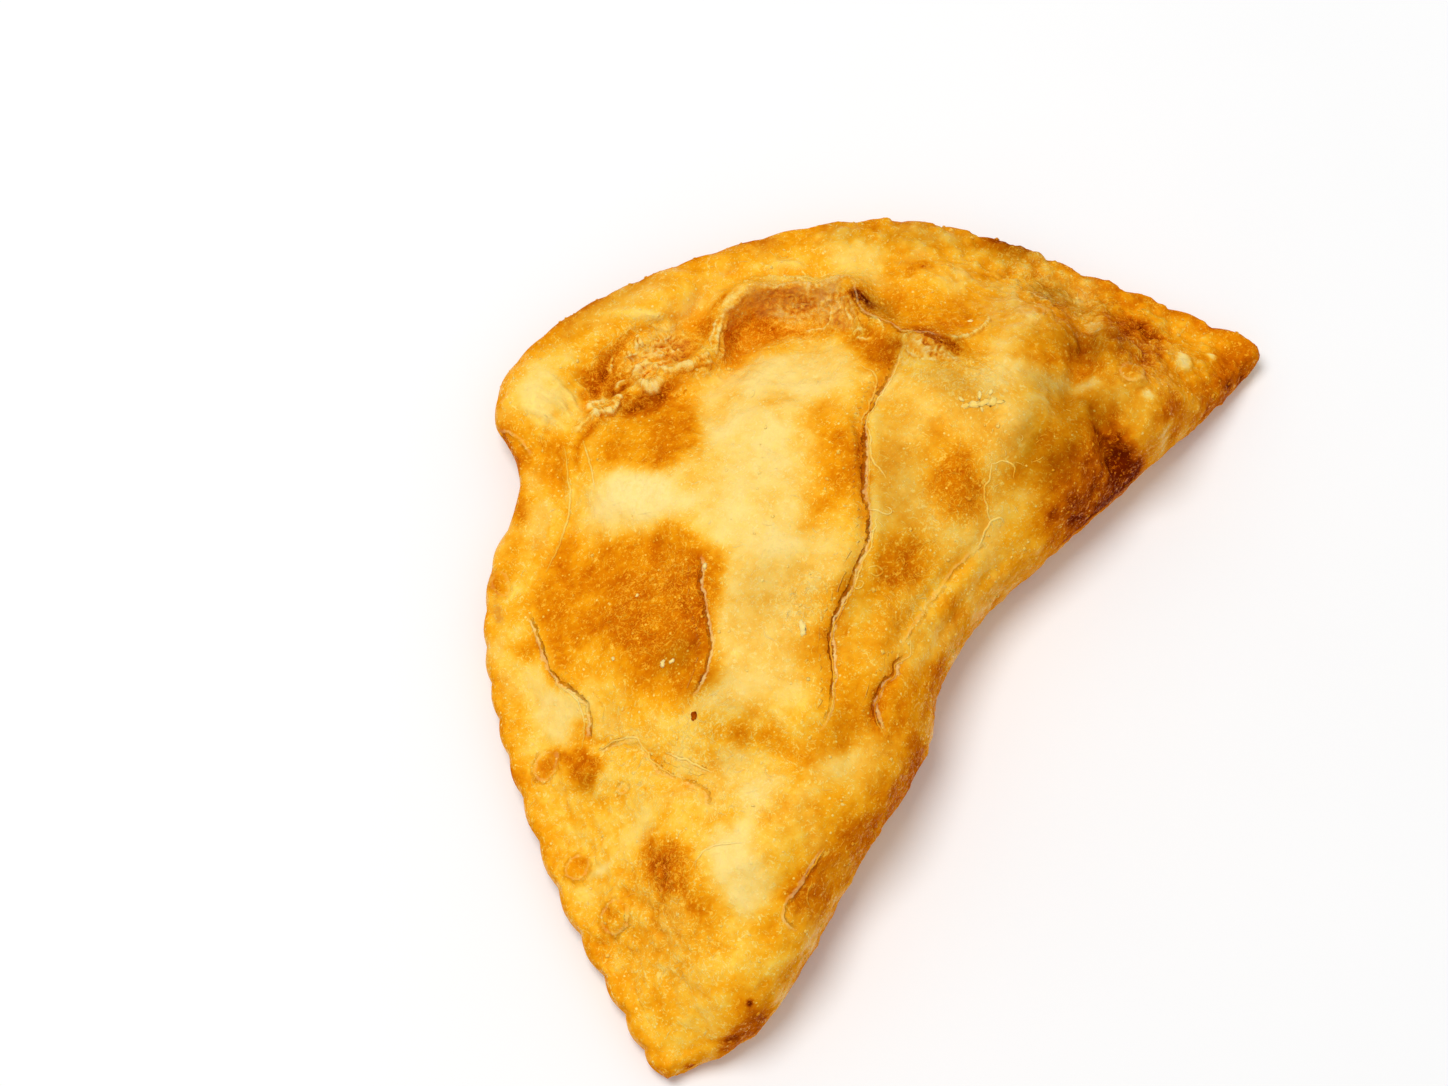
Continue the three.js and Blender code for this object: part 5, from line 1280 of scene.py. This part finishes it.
def crumb_strips(crust, grains):
    """The crumbs above, and many small grains where the skin is rough, by the rim, the fold and
    the cracks. Each is a ball of rings with uneven points, stretched along its own axes."""
    rng = np.random.default_rng(29)
    rows = slice(1, crust.TOP_ROWS - 1)
    plain = crust.plain[:, rows]
    x, y = plain[..., 0], plain[..., 1]
    rim = falloff(crust.from_rim[:, rows] - 1.2, 1.5)
    fold = falloff(crust.from_fold[:, rows] - 1, 1.2) * smooth((x + 62) / 6)
    spread = 0.2 + 0.7 * rim + 1.2 * fold + swelling(x, y, GRAINY)
    chance = (spread * np.linalg.norm(np.gradient(plain, axis=1), axis=-1)).ravel()
    picked = rng.choice(x.size, grains, p=chance / chance.sum())
    own = np.array(CRUMBS)
    middle = np.vstack([own[:, :2], plain[..., :2].reshape(-1, 2)[picked]])
    size = rng.gamma(*GRAIN_SIZE, grains)
    as_below = np.full(grains, -1.0)
    more = np.stack([size, size * rng.uniform(0.6, 1, grains), size * 0.6,
                     rng.uniform(0, 180, grains), as_below, as_below], -1)
    along, across, tall, turn, browned, milky = np.vstack([own[:, 2:], more]).T
    points, normals, marks = crust.over_places(middle)
    latitude = np.pi * (np.arange(CRUMB_SECTIONS) + 1) / (CRUMB_SECTIONS + 1)
    longitude = 2 * np.pi * np.arange(CRUMB_RING) / CRUMB_RING
    latitude, longitude = np.meshgrid(latitude, longitude, indexing="ij")
    ball = np.stack([np.cos(latitude), np.sin(latitude) * np.cos(longitude),
                     np.sin(latitude) * np.sin(longitude)], -1)
    uneven = rng.normal(size=(len(middle), CRUMB_SECTIONS, CRUMB_RING)).clip(-1.2, 1.2)
    shape = ball * (1 + LUMPINESS * uneven)[..., None]
    heading = np.stack([np.cos(np.radians(turn)), np.sin(np.radians(turn)), 0 * turn], -1)
    side = unit(np.cross(normals, heading))
    ahead = np.cross(side, normals)
    axes = np.stack([ahead * along[:, None], side * across[:, None], normals * tall[:, None]], 1)
    centre = points + normals * (tall * 0.1)[:, None]
    rings = centre[:, None, None] + np.einsum("nsrk,nkc->nsrc", shape, axes)
    tips = centre[:, None] + np.stack([axes[:, 0], -axes[:, 0]], 1)
    values = {"browned": np.where(browned < 0, np.clip(marks["browned"] - 0.16, 0, 1), browned),
              "milky": np.where(milky < 0, 0.5, milky)}
    even = np.ones((1, CRUMB_SECTIONS, CRUMB_RING))
    return rings, tips, {key: value[:, None, None] * even for key, value in values.items()}


def placed(name, mesh, material):
    """An object for a mesh, at the origin, with one material."""
    piece = bpy.data.objects.new(name, mesh)
    bpy.context.scene.collection.objects.link(piece)
    mesh.materials.append(material)
    return piece


class Shader:
    """Small helpers that add nodes to one material."""

    def __init__(self, name):
        self.material = bpy.data.materials.new(name)
        self.material.use_nodes = True
        self.nodes = self.material.node_tree.nodes
        self.links = self.material.node_tree.links
        self.surface = self.nodes["Principled BSDF"]

    def node(self, kind, **settings):
        made = self.nodes.new(kind)
        for key, value in settings.items():
            setattr(made, key, value)
        return made

    def wire(self, value, socket):
        """A link where the value is a node's output, or else the socket's own value."""
        if isinstance(value, bpy.types.NodeSocket):
            self.links.new(value, socket)
        else:
            socket.default_value = value

    def wired(self, made, *values, out=0):
        """A node's output, with its first inputs wired to the values."""
        for value, socket in zip(values, made.inputs):
            self.wire(value, socket)
        return made.outputs[out]

    def set(self, made, **values):
        """A node's inputs by name, with a low line for each space."""
        for name, value in values.items():
            self.wire(value, made.inputs[name.replace("_", " ")])

    def reckoned(self, operation, *values):
        return self.wired(self.node("ShaderNodeMath", operation=operation), *values)

    def plus(self, first, second):
        return self.reckoned("ADD", first, second)

    def times(self, first, second):
        return self.reckoned("MULTIPLY", first, second)

    def ease(self, value, low, high, to_low=0.0, to_high=1.0):
        """to_low below low and to_high above high, with a smooth step between."""
        made = self.node("ShaderNodeMapRange", interpolation_type="SMOOTHSTEP")
        return self.wired(made, value, low, high, to_low, to_high)

    def mix(self, share, first, second, blend="MIX"):
        made = self.node("ShaderNodeMix", data_type="RGBA", blend_type=blend)
        self.set(made, Factor=share)
        self.wire(first, made.inputs[6])
        self.wire(second, made.inputs[7])
        return made.outputs[2]

    def ramp(self, value, stops):
        made = self.node("ShaderNodeValToRGB")
        elements = made.color_ramp.elements
        while len(elements) < len(stops):
            elements.new(0.5)
        for element, (place, colour) in zip(elements, stops):
            element.position = place
            element.color = (*colour, 1)
        return self.wired(made, value)

    def attribute(self, name):
        return self.node("ShaderNodeAttribute", attribute_name=name).outputs["Fac"]

    def place(self):
        """Object coordinates in millimetres."""
        mapping = self.node("ShaderNodeMapping", vector_type="POINT")
        self.set(mapping, Scale=[1 / MM] * 3)
        return self.wired(mapping, self.node("ShaderNodeTexCoord").outputs["Object"])

    def noise(self, place, scale, detail=3.0, distortion=0.0):
        made = self.node("ShaderNodeTexNoise")
        self.set(made, Vector=place, Scale=scale, Detail=detail, Distortion=distortion)
        return made.outputs[0]

    def cells(self, place, scale):
        made = self.node("ShaderNodeTexVoronoi")
        self.set(made, Vector=place, Scale=scale)
        return made.outputs["Distance"]


OILY = [
    (0.0, (0.98, 0.65, 0.12)), (0.15, (0.97, 0.58, 0.065)), (0.27, (0.96, 0.48, 0.025)),
    (0.38, (0.92, 0.385, 0.008)), (0.5, (0.84, 0.3, 0.003)), (0.62, (0.72, 0.205, 0.001)),
    (0.75, (0.58, 0.125, 0.0005)), (0.88, (0.37, 0.06, 0.0003)), (1.0, (0.15, 0.013, 0.0002)),
]
CREAMY = [
    (0.0, (0.98, 0.75, 0.27)), (0.2, (0.95, 0.63, 0.15)), (0.35, (0.88, 0.5, 0.07)),
    (0.5, (0.82, 0.38, 0.03)), (0.7, (0.66, 0.22, 0.008)), (1.0, (0.28, 0.05, 0.002)),
]
ROSE = (0.6, 0.2, 0.03, 1)
# The crack lines' colours: partly painted light on the lit lip and partly painted shade in the groove
PALE_LIP_AND_LIGHT = (0.98, 0.72, 0.28, 1)
DARK_CRACK_AND_SHADE = (0.3, 0.05, 0.001, 1)
OIL = (1.0, 0.56, 0.12, 1)
# the colour that painted shade darkens towards
SHADE = (0.5, 0.46, 0.4, 1)
CREAM = (1.0, 0.45, 0.1)  # how far red, green and blue light goes into the dough

# The sizes that the pattern of each has, as scales of noise or cells per millimetre
CLOUDS, GRAINS, SPECKS, FIBRES, DOTS = 0.24, 1.1, 3.4, (0.75, 1.3), 0.75
FINISH = "browned_crust"


def fried_dough():
    """Dough browned in patches, milky where it is dry and thick, with fine fibres and pale specks
    that are partly painted glints, thin cracks drawn with partly painted light and shade, and
    painted shade in the hollows."""
    s = Shader(FINISH)
    place = s.place()
    clouds = s.noise(place, CLOUDS, 6, 0.6)
    grain = s.noise(place, GRAINS, 5, 0.5)
    specks = s.noise(place, SPECKS, 3)
    browned = s.attribute("browned")
    for cloud, reach in ((clouds, 0.07), (grain, 0.045), (specks, 0.02)):
        browned = s.plus(browned, s.ease(cloud, 0.3, 0.7, -reach, reach))

    fibrous = s.reckoned("MULTIPLY_ADD", s.attribute("fibrous"), 0.65, 0.35)
    fibres = []
    for scale, width in zip(FIBRES, (0.055, 0.07)):
        path = s.noise(place, scale, 1, 1.6)
        thin = s.reckoned("ABSOLUTE", s.reckoned("SUBTRACT", path, 0.5))
        thin = s.ease(thin, 0.0, width, 1.0, 0.0)
        broken = s.reckoned("MULTIPLY_ADD", fibrous, 0.16, s.noise(place, scale * 1.4, 2))
        fibres.append(s.times(thin, s.ease(broken, 0.57, 0.67)))
    fibre = s.reckoned("MAXIMUM", *fibres)
    dots = s.ease(s.cells(place, DOTS), 0.09, 0.19, 1.0, 0.0)
    scattered = s.reckoned("MULTIPLY_ADD", fibrous, 0.1, s.noise(place, 0.5, 2))
    dots = s.times(dots, s.ease(scattered, 0.54, 0.6))
    # Pale fibres and specks, partly dry skin and partly painted glints, which lighten and whiten the
    # colour
    specks_and_glints = s.reckoned("MAXIMUM", s.times(fibre, 0.27), s.times(dots, 0.42))
    browned = s.reckoned("SUBTRACT", browned, specks_and_glints)
    milky = s.times(s.attribute("milky"), s.ease(grain, 0.25, 0.6, 0.6, 1.0))
    milky = s.reckoned("MAXIMUM", milky, specks_and_glints)
    colour = s.mix(milky, s.ramp(browned, OILY), s.ramp(browned, CREAMY))
    rosy = s.times(s.attribute("rosy"), s.ease(grain, 0.35, 0.6, 0.4, 0.9))
    colour = s.mix(rosy, colour, ROSE)
    # Painted shade: the shaded mark darkens the colour towards SHADE
    colour = s.mix(s.attribute("shaded"), colour, SHADE, "MULTIPLY")

    wobble = s.ease(s.noise(place, 1.6, 3), 0.25, 0.75, -0.14, 0.14)
    thick = s.ease(s.noise(place, 0.8, 2), 0.3, 0.7, 0.35, 1.0)

    def line(middle, width):
        """A thin line at a distance to one side of a crack's path."""
        away = s.plus(s.attribute("crack_away"), s.reckoned("SUBTRACT", wobble, middle))
        shape = s.ease(s.reckoned("ABSOLUTE", away), width * 0.3, width, 1.0, 0.0)
        return s.times(s.times(shape, s.attribute("crack")), thick)

    # Pale line on each crack's left, partly painted light on the lit lip; dark line along it, partly
    # painted shade in the groove
    pale_and_lit_line, dark_and_shade_line = line(0.42, 0.3), line(0.0, 0.24)
    colour = s.mix(s.times(pale_and_lit_line, 0.75), colour, PALE_LIP_AND_LIGHT)
    colour = s.mix(s.times(dark_and_shade_line, 0.85), colour, DARK_CRACK_AND_SHADE)
    roughness = s.ease(grain, 0.3, 0.7, 0.16, 0.3)
    sheen = s.plus(s.ease(browned, 0.1, 0.5, 0.17, 0.0), s.times(specks_and_glints, 0.3))

    pebbly = s.plus(s.times(s.noise(place, 0.9, 3, 0.8), 0.3),
                    s.ease(s.cells(place, 0.6), 0.1, 0.8, 0.16, 0.0))
    height = s.times(pebbly, fibrous)
    for part, tall in ((fibre, 0.035), (dots, 0.07), (pale_and_lit_line, 0.2), (dark_and_shade_line, -0.35)):
        height = s.plus(height, s.times(part, tall))
    bump = s.node("ShaderNodeBump")
    s.set(bump, Strength=0.85, Distance=MM, Height=height)
    s.set(s.surface, Base_Color=colour, Roughness=roughness, Specular_IOR_Level=sheen,
          Specular_Tint=OIL, Subsurface_Weight=0.12, Subsurface_Radius=CREAM,
          Subsurface_Scale=1.2 * MM, Normal=bump.outputs[0])
    return s.material


def add_piece(name, strips, replaces=False):
    """One piece of the pastry, with the marks that its material reads."""
    material = bpy.data.materials.get(FINISH) or fried_dough()
    piece = placed(name, strips_mesh(name, strips), material)
    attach(piece, "root")
    if replaces:
        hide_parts("empanada")


class PASTRY_OT_crust(bpy.types.Operator):
    """Makes the crust, one closed surface that stands for the solid pastry"""

    bl_idname = "pastry.crust"
    bl_label = "Crust"

    def execute(self, context):
        crust = crust_for(context.scene.pastry)
        marks = {key: value[None] for key, value in crust.marks.items()}
        add_piece("crust", [(crust.points[None], crust.tips[None], marks)], replaces=True)
        return {"FINISHED"}


class PASTRY_OT_torn_skin(bpy.types.Operator):
    """Makes the torn, ruffled skin along the lip and the raised threads beside the cracks"""

    bl_idname = "pastry.torn_skin"
    bl_label = "Torn skin"

    def execute(self, context):
        crust = crust_for(context.scene.pastry)
        plates = [plot_strip(crust, plot) for plot in PLOTS]
        add_piece("torn_skin", [*plates, *thread_strips(crust)])
        return {"FINISHED"}


class PASTRY_OT_flecks(bpy.types.Operator):
    """Makes the fine slivers that curl off the crust"""

    bl_idname = "pastry.flecks"
    bl_label = "Flecks"

    def execute(self, context):
        settings = context.scene.pastry
        add_piece("flecks", [fleck_strips(crust_for(settings), settings.flecks)])
        return {"FINISHED"}


class PASTRY_OT_crumbs(bpy.types.Operator):
    """Makes the crumbs and grains that lie on the crust"""

    bl_idname = "pastry.crumbs"
    bl_label = "Crumbs"

    def execute(self, context):
        settings = context.scene.pastry
        add_piece("crumbs", [crumb_strips(crust_for(settings), settings.grains)])
        return {"FINISHED"}


CAMERA_PLACE = Vector((-159.81, -120.97, 554.42)) * MM
CAMERA_AIM = Vector((-2.205, 5.045, 0)) * MM
CAMERA_LENS = 100
FLOOR_SIZE = 6.0
FLOOR_COLOURS = ((0.93, 0.93, 0.93, 1), (0.95, 0.95, 0.95, 1))
KEY_PLACE = Vector((-0.1, 0.3, 1.26))
KEY_AIM = Vector((0, 0, 0.01))
KEY_SIZE = 0.6
KEY_WATTS = 10
ROOM_LIGHT = 0.52


def aimed(name, data, place, aim):
    """A light or a camera at a place, turned towards another."""
    holder = bpy.data.objects.new(name, data)
    holder.location = place
    holder.rotation_euler = (place - aim).to_track_quat("Z", "Y").to_euler()
    bpy.context.scene.collection.objects.link(holder)
    return holder


class PASTRY_OT_stage(bpy.types.Operator):
    """Makes the pale floor, the soft light and the camera"""

    bl_idname = "pastry.stage"
    bl_label = "Stage"

    def floor(self):
        half = FLOOR_SIZE / 2
        corners = [(-half, -half, 0), (half, -half, 0), (half, half, 0), (-half, half, 0)]
        mesh = bpy.data.meshes.new("floor")
        mesh.from_pydata(corners, [], [(0, 1, 2, 3)])
        s = Shader("pale_floor")
        faint = s.noise(s.place(), 0.02, 3)
        s.set(s.surface, Base_Color=s.mix(faint, *FLOOR_COLOURS), Roughness=0.9,
              Specular_IOR_Level=0.1)
        placed("floor", mesh, s.material)

    def execute(self, context):
        scene = context.scene
        self.floor()
        lamp = bpy.data.lights.new("key", "AREA")
        lamp.shape, lamp.size, lamp.energy = "DISK", KEY_SIZE, KEY_WATTS
        aimed("key", lamp, KEY_PLACE, KEY_AIM)
        world = bpy.data.worlds.new("soft_room")
        world.use_nodes = True
        background = world.node_tree.nodes["Background"]
        background.inputs["Color"].default_value = (1, 1, 1, 1)
        background.inputs["Strength"].default_value = ROOM_LIGHT
        scene.world = world
        camera = bpy.data.cameras.new("camera")
        camera.lens = CAMERA_LENS
        scene.camera = aimed("camera", camera, CAMERA_PLACE, CAMERA_AIM)
        scene.view_settings.view_transform = "Standard"
        return {"FINISHED"}


class PASTRY_PT_panel(bpy.types.Panel):
    """The sizes, and a button for each piece"""

    bl_idname = "PASTRY_PT_panel"
    bl_label = "Fried empanada"
    bl_space_type = "VIEW_3D"
    bl_region_type = "UI"
    bl_category = "Pastry"

    def draw(self, context):
        for key in PastrySettings.__annotations__:
            self.layout.prop(context.scene.pastry, key)
        for operator in OPERATORS:
            self.layout.operator(operator.bl_idname)


OPERATORS = (PASTRY_OT_crust, PASTRY_OT_torn_skin, PASTRY_OT_flecks, PASTRY_OT_crumbs,
             PASTRY_OT_stage)
CLASSES = (PastrySettings, *OPERATORS, PASTRY_PT_panel)


def register():
    for kind in CLASSES:
        bpy.utils.register_class(kind)
    bpy.types.Scene.pastry = bpy.props.PointerProperty(type=PastrySettings)


def unregister():
    del bpy.types.Scene.pastry
    for kind in reversed(CLASSES):
        bpy.utils.unregister_class(kind)


def main():
    register()
    for operator in OPERATORS:
        group, name = operator.bl_idname.split(".")
        getattr(getattr(bpy.ops, group), name)()


if __name__ == "__main__":
    main()
